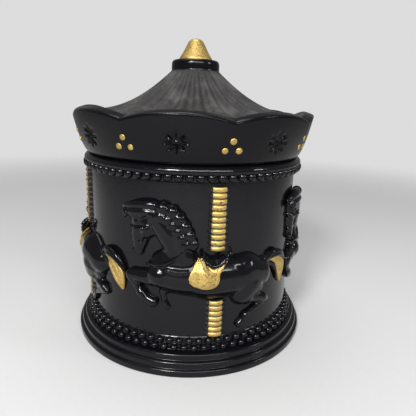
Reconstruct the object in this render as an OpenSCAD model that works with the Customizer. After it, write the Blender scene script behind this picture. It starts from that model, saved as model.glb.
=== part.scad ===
// Carousel wind-up music box: a round jar with four galloping horses in relief, a scalloped
// tent-roof lid that lifts off, and a key-wound musical movement in a chamber under the jar's floor.
// Millimetres. +Z is up. The origin is the centre of the underside of the plinth.
// Pole 1 faces -Y, and every length "along the wall" is measured round the wall from a pole.

/* [Jar] */
// Radius of the jar's outer wall
wall_r = 42; // [41:0.5:44]
// Thickness of the jar's wall
wall_t = 4; // [3.5:0.1:4.4]
// Height of the jar's mouth above the table
jar_h = 74; // [73.5:0.5:78]
// Thickness of the floor between the trinket bowl and the movement
floor_t = 2.5; // [2:0.1:4]
// Height inside the movement chamber
chamber_h = 27; // [27:0.5:30]
// Thickness of the wall round the key recess
recess_wall_t = 2; // [1.6:0.1:2.2]

/* [Plinth] */
// How far the lowest step stands out from the wall
plinth_reach = 6.9; // [6:0.1:9]
// Height of each of the two lower steps
step_h = 2.5; // [2.2:0.1:3]
// Height of the top step
top_step_h = 2.4; // [2.2:0.1:3]
// How far the middle step is set back from the lowest
step_back = 1.1; // [0.8:0.1:1.6]
// How far the top step is set back from the middle one
top_step_back = 1.4; // [1:0.1:1.8]
// Radius of a plinth bead
bead_r = 1.45; // [1.3:0.05:1.5]
// Beads in each ring round the jar
bead_count = 76; // [64:1:78]
// Height of the seat behind each row of plinth beads
bead_seat_h = 2.6; // [2.5:0.1:3.2]
// How far the lower bead seat stands out from the wall
bead_seat_out = 1.2; // [1:0.1:1.6]

/* [Rim] */
// Height of the band round the jar's mouth
rim_h = 5.6; // [5.4:0.1:6.5]
// How far the rim band's bead seat stands out from the wall
rim_seat_out = 1; // [0.8:0.1:1.2]
// How far the rim band's top roll stands out from the wall
rim_roll_out = 2.3; // [2.1:0.1:2.8]
// Height of the rim band's top roll
rim_roll_h = 2.4; // [2:0.1:2.6]
// Radius of a rim bead
rim_bead_r = 1.7; // [1.5:0.05:1.7]

/* [Horses] */
// Horses round the jar
horse_count = 4; // [4:1:4]
// Thickness of the saddle leather over the horse
saddle_t = 0.7; // [0.5:0.1:0.9]
// How far a tail stands out from the wall
tail_out = 2.6; // [1.6:0.1:3.4]
// Radius of the rounded pole face
pole_r = 3.5; // [3.2:0.1:3.8]
// How deep the pole's centre lies in the wall
pole_sink = 1.5; // [1.3:0.1:1.8]
// Height of one rib of the pole
rib_pitch = 2.05; // [1.9:0.05:2.1]
// Depth of the groove between two ribs
rib_groove = 0.45; // [0.2:0.05:0.6]
// Ribs on the pole above the saddle
upper_ribs = 10; // [8:1:10]
// Ribs on the pole below the horse
lower_ribs = 7; // [4:1:7]

/* [Lid] */
// Height of the valance from its foot to the crest of a scallop
valance_h = 17.6; // [16.5:0.1:20]
// How far the valance flares out from the wall at its top
valance_flare = 5.8; // [5:0.1:6.8]
// Scallops round the lid
scallops = 8; // [8:1:8]
// How far a valley lies below a crest
scallop_d = 2.5; // [1.5:0.1:3]
// Angle that the lid is turned against the poles
lid_turn = 4; // [0:0.5:22]
// Thickness of the lid's shell
lid_t = 2.4; // [1.8:0.1:2.8]
// Width of the thick edge on top of the valance
lip_w = 4; // [3.2:0.1:4.4]
// Depth of the plug ring that drops into the jar's mouth
plug_h = 4; // [3:0.5:6]
// Thickness of the plug ring
plug_t = 2; // [1.5:0.1:2.5]
// Height of the roof from its foot to the collar
roof_h = 16.5; // [14:0.1:18]
// Flutes round the roof
flutes = 28; // [28:28:28]
// Depth of a flute
flute_d = 0.7; // [0.3:0.1:0.9]
// Radius of the collar at the top of the roof
collar_r = 9.5; // [8.5:0.1:10.5]
// Height of the collar
collar_h = 4.2; // [3:0.1:5]
// Height of the finial
finial_h = 8.1; // [7:0.1:10]
// Radius of the finial's foot
finial_r = 6.8; // [5.5:0.1:7.2]
// Radius of a painted dot on the valance
dot_r = 1.1; // [0.8:0.05:1.3]
// How far a dot stands out from the valance
dot_out = 0.35; // [0.2:0.05:0.5]

/* [Base] */
// Thickness of the base plate
base_t = 2.5; // [2:0.1:3]
// Height of the key recess under the base plate
recess_h = 16; // [15.5:0.1:17]
// Radius of the bosses for the base screws
boss_r = 3.5; // [3:0.1:4]
// Height of the bosses
boss_h = 10; // [8:0.5:14]
// How far the base screws stand in from the chamber's wall
boss_in = 3.4; // [3.1:0.1:3.7]
// Shank radius of the base screws
base_screw_r = 1.4; // [1.2:0.05:1.6]
// Length of the base screws under the head
base_screw_len = 9.5; // [8:0.5:11]
// Shank radius of the movement screws
move_screw_r = 1.25; // [1:0.05:1.4]
// Head radius of the screws from below
head_r = 2.7; // [2.4:0.1:3]
// Head height of the screws from below
head_h = 1.4; // [1:0.1:1.6]

/* [Movement] */
// Distance of the winding arbor from the jar's axis
arbor_off = 13; // [12.5:0.1:13.5]
// Thickness of the bedplate
bed_t = 2.5; // [2:0.1:2.6]
// Height of the cylinder's axis above the base plate
axis_h = 12; // [12:0.1:12.6]
// Radius of the winding arbor
arbor_r = 2; // [1.8:0.05:2.2]
// Radius of the spring housing
housing_r = 8.6; // [8.2:0.1:8.8]
// Wall of the spring housing
housing_t = 0.8; // [0.6:0.1:1]
// Height of the spring housing
housing_h = 11.5; // [10.5:0.1:12]
// Thickness of the mainspring's strip
spring_t = 0.3; // [0.2:0.05:0.4]
// Turns of the mainspring
spring_turns = 4; // [3:1:5]
// Module of the contrate gear and its pinion
crown_m = 0.7; // [0.69:0.01:0.71]
// Teeth of the contrate gear
crown_n = 30; // [30:1:30]
// Teeth of the cylinder's pinion
cyl_pinion_n = 14; // [14:1:14]
// Module of the cylinder wheel and the governor's pinion
wheel_m = 0.5; // [0.49:0.01:0.51]
// Teeth of the cylinder wheel
wheel_n = 32; // [32:1:32]
// Teeth of the governor's pinion
gov_pinion_n = 10; // [10:1:10]
// Module of the worm wheel
worm_m = 0.6; // [0.59:0.01:0.61]
// Teeth of the worm wheel
worm_wheel_n = 18; // [18:1:18]
// Thickness of the small gear wheels
gear_t = 1.4; // [1.2:0.1:1.5]
// Radius of the pinned cylinder
drum_r = 6; // [5.8:0.05:6.1]
// Length of the pinned cylinder
drum_len = 22; // [21:0.1:22.4]
// Wall of the pinned cylinder
drum_t = 0.8; // [0.6:0.1:1]
// Teeth of the comb
comb_n = 18; // [18:1:18]
// Thickness of the comb's teeth
tine_t = 0.8; // [0.6:0.05:1]
// Height of a pin on the cylinder
pin_h = 0.45; // [0.3:0.05:0.5]
// Radius of the cylinder's arbor and the governor's arbor
thin_arbor_r = 1; // [0.8:0.05:1.1]
// Thickness of the bearing plates
bearing_t = 1.2; // [1:0.1:1.3]
// Radius of the worm's pitch circle
worm_r = 1.8; // [1.7:0.05:1.9]
// Radius of the governor's fan
fan_r = 3; // [2:0.1:3.2]
// Height of the fan's blades
fan_h = 3.4; // [2.4:0.1:3.6]

/* [Key] */
// Span of the key's two wings
key_w = 24; // [18:0.5:26]
// Height of the key's wings
key_h = 9.5; // [8:0.5:10]
// Thickness of the key's wings
key_t = 1.6; // [1.2:0.1:2]
// Radius of the key's hub
key_hub_r = 3.3; // [3:0.1:3.8]
// Height of the key's lower edge above the table
key_z = 3; // [2:0.1:4]

/* [Fits] */
// Radial running clearance of shafts in their bearings
run_gap = 0.05; // [0.03:0.01:0.08]
// Radial clearance of a shank in a hole that it passes through
pass_gap = 0.3; // [0.2:0.05:0.5]
// Clearance between parts that are fixed to each other
fix_gap = 0.02; // [0.01:0.01:0.05]
// Clearance between the lid's plug ring and the jar's mouth
plug_gap = 0.5; // [0.3:0.05:0.7]
// Clearance between the base plate and its recess
plate_gap = 0.2; // [0.1:0.05:0.3]
// Clearance between the pins and the tips of the comb
comb_gap = 0.2; // [0.1:0.05:0.3]

/* [Hidden] */
$fn = 96;
ball_fn = 12;
bead_fn = 24;
seat_fn = 288;
curl_fn = 10;
wall_fn = 144;
lid_fn = flutes * 4;
eps = 0.01;

bowl_r = wall_r - wall_t;
recess_r = wall_r - recess_wall_t;
plate_z = recess_h;
chamber_z = plate_z + base_t;
chamber_top = chamber_z + chamber_h;
bowl_z = chamber_top + floor_t;

plinth_r = wall_r + plinth_reach;
plinth_r2 = plinth_r - step_back;
plinth_r3 = plinth_r2 - top_step_back;
plinth_top = 2 * step_h + top_step_h;
edge_round = 0.4;
seat_low_r = wall_r + bead_seat_out;
seat_low_top = plinth_top + bead_seat_h;
seat_high_out = 0.4;
seat_high_r = wall_r + seat_high_out;
seat_high_top = seat_low_top + 0.7 * bead_seat_h;
low_bead_z = plinth_top + bead_r - 0.35;
low_bead_r = seat_low_r + 0.4;
high_bead_z = low_bead_z + 2.2;
high_bead_r = low_bead_r - 0.9;

rim_z = jar_h - rim_h;
rim_bead_z = rim_z + rim_bead_r + 0.2;
rim_bead_ring_r = wall_r + rim_seat_out + 0.1;

boss_angles = [60, 180, 300];
bed_top = chamber_z + bed_t;
axis_z = chamber_z + axis_h;
arbor_x = -arbor_off;

crown_pitch_r = crown_m * crown_n / 2;
cyl_pinion_r = crown_m * cyl_pinion_n / 2;
crown_pitch_z = axis_z + cyl_pinion_r;
crown_half_w = 1.2;
crown_disc_t = 1.5;
add_k = 0.9;
ded_k = 1.2;
crown_root_z = crown_pitch_z + ded_k * crown_m;
arbor_top = crown_root_z + crown_disc_t + 0.8;
cyl_pinion_x = arbor_x + crown_pitch_r;

bearing_gap = 0.6;
bearing_l_x = cyl_pinion_x + crown_half_w + bearing_gap;
drum_x = bearing_l_x + bearing_t + bearing_gap;
wheel_x = drum_x + drum_len + 0.5;
bearing_r_x = wheel_x + gear_t + 0.8;
wheel_r = wheel_m * wheel_n / 2;
gov_pinion_r = wheel_m * gov_pinion_n / 2;
gov_y = -(wheel_r + gov_pinion_r);
worm_wheel_r = worm_m * worm_wheel_n / 2;
worm_wheel_x = bearing_r_x + bearing_t + bearing_gap;
worm_x = worm_wheel_x + gear_t / 2;
worm_y = gov_y - worm_wheel_r - worm_r;
worm_lead = PI * worm_m;
worm_turns = 4;
worm_z = axis_z - worm_turns * worm_lead / 2;
worm_top = axis_z + worm_turns * worm_lead / 2;
pivot_r = 0.6;
foot_t = 1;
frame_top = axis_z + worm_wheel_r + add_k * worm_m + bearing_gap;
fan_z = frame_top + foot_t + 0.6;
fan_clear = 0.5;

comb_y = drum_r + pin_h + comb_gap;
tine_pitch = drum_len / comb_n;
tine_w = 0.72 * tine_pitch;
tine_len = 7.5;
comb_plate_y = comb_y + tine_len;
comb_plate_w = 7.5;
comb_plate_t = 1.8;
comb_screw_y = comb_plate_y + comb_plate_w / 2;
comb_screw_xs = [drum_x + drum_len * 0.22, drum_x + drum_len * 0.78];
comb_screw_r = 1;
comb_head_r = 1.9;
comb_head_h = 1;
comb_screw_sink = 5;

bed_x0 = arbor_x - housing_r - 4.5;
bed_x1 = worm_x + 2.4;
bed_y1 = comb_plate_y + comb_plate_w;
bed_y0 = gov_y - 3;
gov_plate_half = 2.6;
bed_tab_y = worm_y - gov_plate_half;
bed_tab_x = bearing_r_x - 3;
move_screw_side = 9;
move_screw_back = 9.5;
move_screw_reach = 22;
move_screws = [
    [arbor_x - move_screw_side, move_screw_back],
    [arbor_x + move_screw_reach, gov_y + 1],
    [bearing_r_x + 0.5, comb_screw_y]
];

lid_z = jar_h + 0.1;
plug_r = bowl_r - plug_gap;
valance_r0 = wall_r + 0.2;
valance_r1 = wall_r + valance_flare;
crest_z = lid_z + valance_h;
lip_rise = 1.5;
lip_foot_z = crest_z - lip_rise;
roof_foot_r = valance_r1 - lip_w - 2.3;
roof_foot_z = crest_z - scallop_d + 0.2;
collar_z = roof_foot_z + roof_h;
lid_top = collar_z + collar_h;
roof_curve = 2.08;
valance_curve = 0.57;
roof_steps = 6;
valance_steps = 4;
lip_steps = 5;

function deg_along(s) = s / wall_r * 180 / PI;
function on_wall(s, z, d) = [(wall_r + d) * sin(deg_along(s)), -(wall_r + d) * cos(deg_along(s)), z];

// The horses are drawn for a field of this size, and stretch to the field that the jar gives them
drawn_len = 68.2;
drawn_h = 58.6;
drawn_foot = 12.72;
rib_field_h = 56.2;
field_foot = seat_high_top + seat_high_out;
stretch_s = 2 * PI * wall_r / horse_count / drawn_len;
stretch_z = (rim_z - field_foot) / drawn_h;
stretch_r = min(stretch_s, stretch_z);

function field_s(s) = s * stretch_s;
function field_z(z) = field_foot + (z - drawn_foot) * stretch_z;
function in_field(j) = on_wall(field_s(j[0]), field_z(j[1]), j[2] * stretch_r);

// ---------- jar ----------

// Solid outer form of the jar: plinth steps, two bead seats and the wall, with no hollows
module jar_form(fn = $fn) {
    rotate_extrude($fn = fn)
    polygon([
        [0, 0],
        [plinth_r - edge_round, 0],
        [plinth_r, edge_round],
        [plinth_r, step_h - edge_round],
        [plinth_r - edge_round, step_h],
        [plinth_r2, step_h],
        [plinth_r2, 2 * step_h - edge_round],
        [plinth_r2 - edge_round, 2 * step_h],
        [plinth_r3, 2 * step_h],
        [plinth_r3, plinth_top - edge_round],
        [plinth_r3 - edge_round, plinth_top],
        [seat_low_r, plinth_top],
        [seat_low_r, seat_low_top],
        [seat_high_r, seat_low_top],
        [seat_high_r, seat_high_top],
        [wall_r, seat_high_top + seat_high_out],
        [wall_r, jar_h],
        [0, jar_h]
    ]);
}

module at_bosses() {
    for (a = boss_angles)
        rotate([0, 0, a])
        translate([bowl_r - boss_in, 0, 0])
        children();
}

module jar_body() {
    color([0.03, 0.03, 0.035])
    difference() {
        union() {
            difference() {
                jar_form();
                translate([0, 0, -1])
                cylinder(r = recess_r, h = plate_z + base_t + 1);
                translate([0, 0, plate_z])
                cylinder(r = bowl_r, h = chamber_top - plate_z);
                translate([0, 0, bowl_z])
                cylinder(r = bowl_r, h = jar_h);
                translate([worm_x, worm_y, fan_z - fan_clear])
                cylinder(r = fan_r + fan_clear, h = fan_h + 2 * fan_clear);
            }
            intersection() {
                at_bosses()
                translate([0, 0, chamber_z])
                cylinder(r = boss_r, h = boss_h);
                translate([0, 0, chamber_z])
                cylinder(r = bowl_r + wall_t / 2, h = boss_h);
            }
        }
        at_bosses()
        translate([0, 0, chamber_z - 1])
        cylinder(r = base_screw_r + fix_gap, h = boss_h);
    }
}

// A ring of beads round the jar, each ball cut off where it meets its seat
module bead_ring(r, z, ball_r, turn) {
    for (i = [0 : bead_count - 1])
        rotate([0, 0, (i + turn) * 360 / bead_count])
        translate([r, 0, z])
        sphere(r = ball_r, $fn = bead_fn);
}

module plinth_beads_lower() {
    color([0.03, 0.03, 0.035])
    difference() {
        bead_ring(low_bead_r, low_bead_z, bead_r, 0);
        jar_form(seat_fn);
    }
}

module plinth_beads_upper() {
    color([0.03, 0.03, 0.035])
    difference() {
        bead_ring(high_bead_r, high_bead_z, bead_r, 0.5);
        jar_form(seat_fn);
    }
}

module rim_form(fn = $fn) {
    rotate_extrude($fn = fn)
    polygon([
        [wall_r - 1, rim_z],
        [wall_r + rim_seat_out / 2, rim_z],
        [wall_r + rim_seat_out, rim_z + rim_seat_out / 2],
        [wall_r + rim_seat_out, jar_h - rim_roll_h - 0.4],
        [wall_r + rim_roll_out - 0.4, jar_h - rim_roll_h],
        [wall_r + rim_roll_out, jar_h - rim_roll_h * 0.75],
        [wall_r + rim_roll_out - 0.1, jar_h - rim_roll_h * 0.55],
        [wall_r + rim_roll_out - 0.5, jar_h - rim_roll_h * 0.33],
        [wall_r + rim_roll_out - 1.1, jar_h - rim_roll_h * 0.12],
        [wall_r + rim_roll_out - 1.8, jar_h],
        [wall_r - 1, jar_h]
    ]);
}

module rim_band() {
    color([0.03, 0.03, 0.035])
    difference() {
        rim_form();
        translate([0, 0, rim_z - 1])
        cylinder(r = wall_r, h = rim_h + 2);
    }
}

module rim_beads() {
    color([0.03, 0.03, 0.035])
    difference() {
        bead_ring(rim_bead_ring_r, rim_bead_z, rim_bead_r, 0.25);
        rim_form(seat_fn);
    }
}

// ---------- horses in relief ----------

// Each joint is [length along the wall from the pole, height, centre off the wall, radius]
chest = [-17, 39.3, -2.2, 7];
middle = [-3, 38.4, -2.6, 7.3];
rump = [12.3, 37.6, -2.6, 8.5];
croup = [17.4, 35.6, -1.6, 5.6];
withers = [-11.5, 44.8, -1.8, 6];
neck = [-16.8, 55.8, -1.2, 5];
poll = [-21.3, 60.6, -0.6, 4];
brow = [-26.5, 59.3, -0.2, 3.3];
cheek = [-25.6, 54.6, -0.2, 3.5];
muzzle = [-28, 46.6, 0, 2.5];
forelock = [-33, 61.8, 0.4, 1.2];
crest = [-22.5, 63.2, 0.2, 2.1];
shoulder = [-19.5, 36.6, -0.4, 4.4];
knee = [-31, 36.4, 0.8, 2];
fetlock = [-26.8, 29.2, 0.8, 1.5];
hoof = [-22.3, 25.6, 0.9, 1.7];
elbow = [-14.8, 34.2, -0.8, 3.6];
far_knee = [-20.8, 29.8, -0.3, 1.8];
far_hoof = [-17, 25, -0.2, 1.6];
seat_front = [-3.4, 45.6, -1, 2];
seat_back = [4.2, 45.9, -0.8, 2];
thigh = [10.4, 33.4, -1, 6.6];
stifle = [8.4, 27.8, -0.4, 3.2];
hock = [20.6, 25.2, 0.2, 2.1];
hind_fetlock = [12.4, 19.3, 0.3, 1.6];
hind_hoof = [10.3, 16.7, 0.4, 1.7];
curls = [
    [-18, 63.4, 0.4, 2.2], [-14.4, 61.3, 0.6, 2.2], [-11.7, 58.2, 0.6, 2.2],
    [-9.9, 54.6, 0.6, 2.1], [-8.8, 50.9, 0.5, 2]
];

module ball(j) {
    translate(in_field(j))
    sphere(r = j[3] * stretch_r, $fn = ball_fn);
}

module limb(a, b) {
    hull() {
        ball(a);
        ball(b);
    }
}

// The horse's whole body, reaching into the wall
module horse_form() {
    limb(chest, middle);
    limb(middle, rump);
    limb(rump, croup);
    limb(chest, withers);
    limb(withers, neck);
    limb(neck, poll);
    limb(poll, brow);
    limb(brow, cheek);
    limb(cheek, muzzle);
    limb(forelock, crest);
    limb(shoulder, knee);
    limb(knee, fetlock);
    limb(fetlock, hoof);
    limb(elbow, far_knee);
    limb(far_knee, far_hoof);
    limb(seat_front, seat_back);
    limb(thigh, stifle);
    limb(stifle, hock);
    limb(hock, hind_fetlock);
    limb(hind_fetlock, hind_hoof);
    for (c = curls)
        translate(in_field(c))
        sphere(r = c[3] * stretch_r, $fn = curl_fn);
}

// The space inside the wall, drawn with flat sides that touch the wall's outer face
module wall_core() {
    translate([0, 0, -1])
    cylinder(r = wall_r / cos(180 / wall_fn), h = jar_h + 2, $fn = wall_fn);
}

module horse() {
    color([0.035, 0.035, 0.04])
    difference() {
        horse_form();
        wall_core();
        saddle_form();
    }
}

saddle_outline = [
    [-5.3, 46.6], [-7.6, 43.2], [-9.5, 39], [-8.9, 36.4], [-7, 34.4], [-3.9, 33.8], [-1.1, 34.8],
    [0.1, 37.1], [0.6, 40.9], [5.4, 45.6], [4.3, 46.6], [-0.3, 42.6], [-2, 41.9], [-3.6, 43.4], [-4.4, 45]
];
saddle_mid = -2.5;
// Saddles start this far off the wall, and no relief reaches further than this
saddle_foot = 2.4;
relief_reach = 12;

// A prism through the wall's relief, whose outline is given as [length along the wall, height]
module relief_prism(outline, mid) {
    rotate([0, 0, deg_along(field_s(mid))])
    rotate([90, 0, 0])
    linear_extrude(wall_r + relief_reach)
    polygon([for (p = outline) [wall_r * sin(deg_along(field_s(p[0] - mid))), field_z(p[1])]]);
}

function thicker(j, t) = [j[0], j[1], j[2], j[3] + t];

module saddle_form() {
    intersection() {
        relief_prism(saddle_outline, saddle_mid);
        union() {
            limb(thicker(chest, saddle_t), thicker(middle, saddle_t));
            limb(thicker(middle, saddle_t), thicker(rump, saddle_t));
            limb(thicker(withers, saddle_t), thicker(chest, saddle_t));
            limb(thicker(seat_front, saddle_t), thicker(seat_back, saddle_t));
        }
        translate([0, 0, 1])
        difference() {
            cylinder(r = wall_r + relief_reach, h = jar_h, $fn = wall_fn);
            cylinder(r = wall_r + saddle_foot * stretch_r, h = jar_h, $fn = wall_fn);
        }
    }
}

module saddle() {
    color([0.78, 0.58, 0.2])
    saddle_form();
}

tail_outline = [
    [22.6, 39.6], [23.6, 40.9], [26, 41.4], [28.4, 40.6], [30.8, 38.6], [32.6, 36], [33.2, 33],
    [32.2, 29], [31.1, 30.4], [29.6, 33], [27.4, 35.6], [25.2, 37.4]
];
tail_mid = 28;

module tail() {
    color([0.78, 0.58, 0.2])
    intersection() {
        relief_prism(tail_outline, tail_mid);
        difference() {
            cylinder(r = wall_r + tail_out, h = jar_h);
            translate([0, 0, -1])
            cylinder(r = wall_r, h = jar_h + 2);
        }
    }
}

rib_h = rib_pitch * (rim_z - field_foot) / rib_field_h;

// Stack of rounded ribs, turned on the pole's own axis
module rib_stack(z, n) {
    translate([0, -(wall_r - pole_sink), z])
    rotate_extrude()
    polygon(concat(
        [[0, 0]],
        [for (i = [0 : n - 1], k = [[0, rib_groove], [0.3, 0], [0.7, 0]])
            [pole_r - k[1], (i + k[0]) * rib_h]],
        [[pole_r - rib_groove, n * rib_h], [0, n * rib_h]]
    ));
}

pole_low_z = field_foot + 0.2;
pole_top_gap = 0.9;
pole_high_z = rim_z - pole_top_gap - upper_ribs * rib_h;

// The half of each rib stack that stands proud of the wall
module pole() {
    color([0.82, 0.62, 0.22])
    for (length = [[pole_low_z, lower_ribs], [pole_high_z, upper_ribs]])
        difference() {
            rib_stack(length[0], length[1]);
            translate([-pole_r - 1, -wall_r, length[0] - 1])
            cube([2 * pole_r + 2, 2 * pole_r + 2, length[1] * rib_h + 2]);
        }
}

module round_jar(i) {
    rotate([0, 0, (i - 1) * 360 / horse_count])
    children();
}

// ---------- lid ----------

// How far the scalloped edge has dropped at angle a: 0 on a crest, 1 in a valley
function scallop_drop(a) =
    let (u = abs(((a * scallops / 360) % 1 + 1) % 1 - 0.5) * 2)
    pow(u, 2.2);

function flute_wave(a) = cos(a * flutes);

// One ring of the lid's skin: [radius, height, share of the scallop, share of the flutes]
function valance_ring(t) = [
    valance_r0 + (valance_r1 - valance_r0) * pow(t, valance_curve),
    lid_z + (lip_foot_z - lid_z) * t,
    t,
    0
];
function roof_ring(t) = [
    roof_foot_r + (collar_r - roof_foot_r) * t,
    roof_foot_z + roof_h * pow(t, roof_curve),
    0,
    min(1, 4 * t) * (1 - pow(t, 3))
];
function inner_roof_ring(t) = [
    roof_foot_r - 1 + (collar_r - roof_foot_r - 1) * t,
    roof_foot_z + roof_h * pow(t, roof_curve) - lid_t - flute_d - 3 * pow(t, 4),
    0,
    0
];

lid_rings = concat(
    [
        [plug_r - plug_t, lid_z - plug_h, 0, 0],
        [plug_r - 0.4, lid_z - plug_h, 0, 0],
        [plug_r, lid_z - plug_h + 0.4, 0, 0],
        [plug_r, lid_z, 0, 0]
    ],
    [for (i = [0 : valance_steps]) valance_ring(i / valance_steps)],
    [
        [valance_r1 - 0.3, lip_foot_z + 0.35, 1, 0],
        [valance_r1 - lip_w * 0.5, crest_z - 0.3, 1, 0],
        [valance_r1 - lip_w * 0.8, crest_z, 1, 0],
        [valance_r1 - lip_w, crest_z - 0.3, 1, 0],
        [valance_r1 - lip_w - 1.2, crest_z - 1.2, 0.75, 0]
    ],
    [for (i = [0 : roof_steps]) roof_ring(i / roof_steps)],
    [
        [collar_r, collar_z + collar_h * 0.7, 0, 0],
        [collar_r - 0.5, lid_top - 0.5, 0, 0],
        [collar_r - 1.5, lid_top, 0, 0]
    ],
    [for (i = [4 : -1 : 0]) inner_roof_ring(i / 4)],
    [
        [valance_r1 - lid_t - 2.6, crest_z - scallop_d - lid_t - 1, 0, 0],
        [valance_r0 - lid_t, lid_z + lid_t, 0, 0],
        [plug_r - plug_t, lid_z + lid_t - 0.6, 0, 0]
    ]
);
lid_ring_count = len(lid_rings);
top_ring = 4 + valance_steps + 1 + lip_steps + roof_steps + 1 + 2;

function lid_point(ring, a) =
    let (z = ring[1] - ring[2] * scallop_d * scallop_drop(a) + ring[3] * flute_d * flute_wave(a))
    [ring[0] * cos(a), ring[0] * sin(a), z];

// The skin is a mesh of rings; the collar's top and the roof's underside are closed by one point each
module lid() {
    n = lid_fn;
    points = concat(
        [for (ring = lid_rings, i = [0 : n - 1]) lid_point(ring, i * 360 / n)],
        [[0, 0, lid_top], [0, 0, lid_rings[top_ring + 1][1]]]
    );
    top_point = lid_ring_count * n;
    joined = [for (k = [0 : lid_ring_count - 1]) if (k != top_ring) k];
    faces = concat(
        [for (k = joined, i = [0 : n - 1])
            let (j = (i + 1) % n, m = (k + 1) % lid_ring_count)
            [k * n + i, m * n + i, k * n + j]],
        [for (k = joined, i = [0 : n - 1])
            let (j = (i + 1) % n, m = (k + 1) % lid_ring_count)
            [k * n + j, m * n + i, m * n + j]],
        [for (i = [0 : n - 1])
            let (j = (i + 1) % n)
            [top_ring * n + i, top_point, top_ring * n + j]],
        [for (i = [0 : n - 1])
            let (j = (i + 1) % n)
            [(top_ring + 1) * n + j, top_point + 1, (top_ring + 1) * n + i]]
    );
    color([0.04, 0.04, 0.045])
    rotate([0, 0, lid_turn - 90])
    polyhedron(points, faces);
}

module finial() {
    color([0.8, 0.58, 0.18])
    translate([0, 0, lid_top])
    rotate_extrude()
    polygon([
        [0, 0],
        [finial_r, 0],
        [finial_r * 0.94, finial_h * 0.09],
        [finial_r * 0.68, finial_h * 0.44],
        [finial_r * 0.54, finial_h * 0.6],
        [finial_r * 0.42, finial_h * 0.84],
        [finial_r * 0.28, finial_h * 0.95],
        [finial_r * 0.1, finial_h],
        [0, finial_h]
    ]);
}

valance_tilt = atan2(valance_r1 - valance_r0, valance_h);

// A dot on the valance at height z, at a length along the wall from the valley above its group
module dot_at(along, z) {
    t = (z - lid_z) / (lip_foot_z - lid_z - scallop_d);
    r = valance_ring(t)[0];
    rotate([0, 0, deg_along(along)])
    translate([0, -r - 0.04, z])
    rotate([90 + valance_tilt, 0, 0])
    cylinder(r1 = dot_r, r2 = dot_r * 0.75, h = dot_out, $fn = 24);
}

dots_low_z = lid_z + valance_h * 0.295;
dots_high_z = lid_z + valance_h * 0.47;

module lid_dots() {
    color([0.82, 0.62, 0.22])
    for (i = [0 : scallops - 1])
        rotate([0, 0, lid_turn + i * 360 / scallops]) {
            dot_at(-2.1, dots_low_z);
            dot_at(2.1, dots_low_z);
            dot_at(0, dots_high_z);
        }
}

// ---------- base ----------

module at_move_screws() {
    for (p = move_screws)
        translate([p[0], p[1], 0])
        children();
}

module base_plate() {
    color([0.08, 0.07, 0.065])
    difference() {
        translate([0, 0, plate_z])
        cylinder(r = recess_r - plate_gap, h = base_t);
        translate([arbor_x, 0, plate_z - 1])
        cylinder(r = arbor_r + pass_gap, h = base_t + 2);
        at_bosses()
        translate([0, 0, plate_z - 1])
        cylinder(r = base_screw_r + pass_gap, h = base_t + 2);
        at_move_screws()
        translate([0, 0, plate_z - 1])
        cylinder(r = move_screw_r + pass_gap, h = base_t + 2);
    }
}

// A screw driven from below: its head hangs under the base plate, with a cross slot
module screw_up(shank_r, shank_len) {
    difference() {
        union() {
            translate([0, 0, plate_z - head_h])
            cylinder(r = head_r, h = head_h);
            translate([0, 0, plate_z - eps])
            cylinder(r = shank_r, h = shank_len + eps);
        }
        for (a = [0, 90])
            rotate([0, 0, a])
            translate([-head_r * 0.6, -0.3, plate_z - head_h - 1])
            cube([head_r * 1.2, 0.6, 1.7]);
    }
}

module base_screws() {
    color([0.7, 0.7, 0.72])
    at_bosses()
    screw_up(base_screw_r, base_screw_len);
}

module movement_screws() {
    color([0.7, 0.7, 0.72])
    at_move_screws()
    screw_up(move_screw_r, base_t + bed_t - 0.3);
}

// ---------- movement: fixed pieces ----------

module bedplate() {
    color([0.62, 0.62, 0.64])
    difference() {
        union() {
            translate([bed_x0, bed_y0, chamber_z])
            cube([bed_x1 - bed_x0, bed_y1 - bed_y0, bed_t]);
            translate([bed_tab_x, bed_tab_y, chamber_z])
            cube([bed_x1 - bed_tab_x, bed_y0 - bed_tab_y + 1, bed_t]);
            translate([drum_x, comb_plate_y + 0.8, bed_top - eps])
            cube([drum_len, comb_plate_w - 0.8, axis_z - tine_t / 2 - bed_top + eps]);
        }
        translate([arbor_x, 0, chamber_z - 1])
        cylinder(r = arbor_r + run_gap, h = bed_t + 2);
        at_move_screws()
        translate([0, 0, chamber_z - 1])
        cylinder(r = move_screw_r + fix_gap, h = bed_t + 2);
        for (x = comb_screw_xs)
            translate([x, comb_screw_y, axis_z - tine_t / 2 - comb_screw_sink])
            cylinder(r = comb_screw_r + fix_gap, h = comb_screw_sink + 1);
    }
}

module spring_housing() {
    color([0.66, 0.66, 0.68])
    translate([arbor_x, 0, bed_top])
    difference() {
        cylinder(r = housing_r, h = housing_h);
        translate([0, 0, -1])
        cylinder(r = housing_r - housing_t, h = housing_h);
        cylinder(r = arbor_r + run_gap, h = housing_h + 1);
    }
}

spring_in_r = arbor_r + 0.35;
spring_out_r = housing_r - housing_t - 0.35 - spring_t;
spring_steps = 24 * spring_turns;
spring_side = 0.6;

function spring_point(i, off) =
    let (r = spring_in_r + (spring_out_r - spring_in_r) * i / spring_steps + off, a = i * 15)
    [r * cos(a), r * sin(a)];

module mainspring() {
    color([0.45, 0.47, 0.5])
    translate([arbor_x, 0, bed_top + spring_side])
    linear_extrude(housing_h - 1 - 2 * spring_side)
    polygon(concat(
        [for (i = [0 : spring_steps]) spring_point(i, 0)],
        [for (i = [spring_steps : -1 : 0]) spring_point(i, spring_t)]
    ));
}

bearing_w = 8;

module bearing_plate(x) {
    difference() {
        union() {
            translate([x, -bearing_w / 2, bed_top])
            cube([bearing_t, bearing_w, axis_z - bed_top]);
            translate([x, 0, axis_z])
            rotate([0, 90, 0])
            cylinder(r = bearing_w / 2 - 1, h = bearing_t);
        }
        translate([x - 1, 0, axis_z])
        rotate([0, 90, 0])
        cylinder(r = thin_arbor_r + run_gap, h = bearing_t + 2);
    }
}

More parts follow.
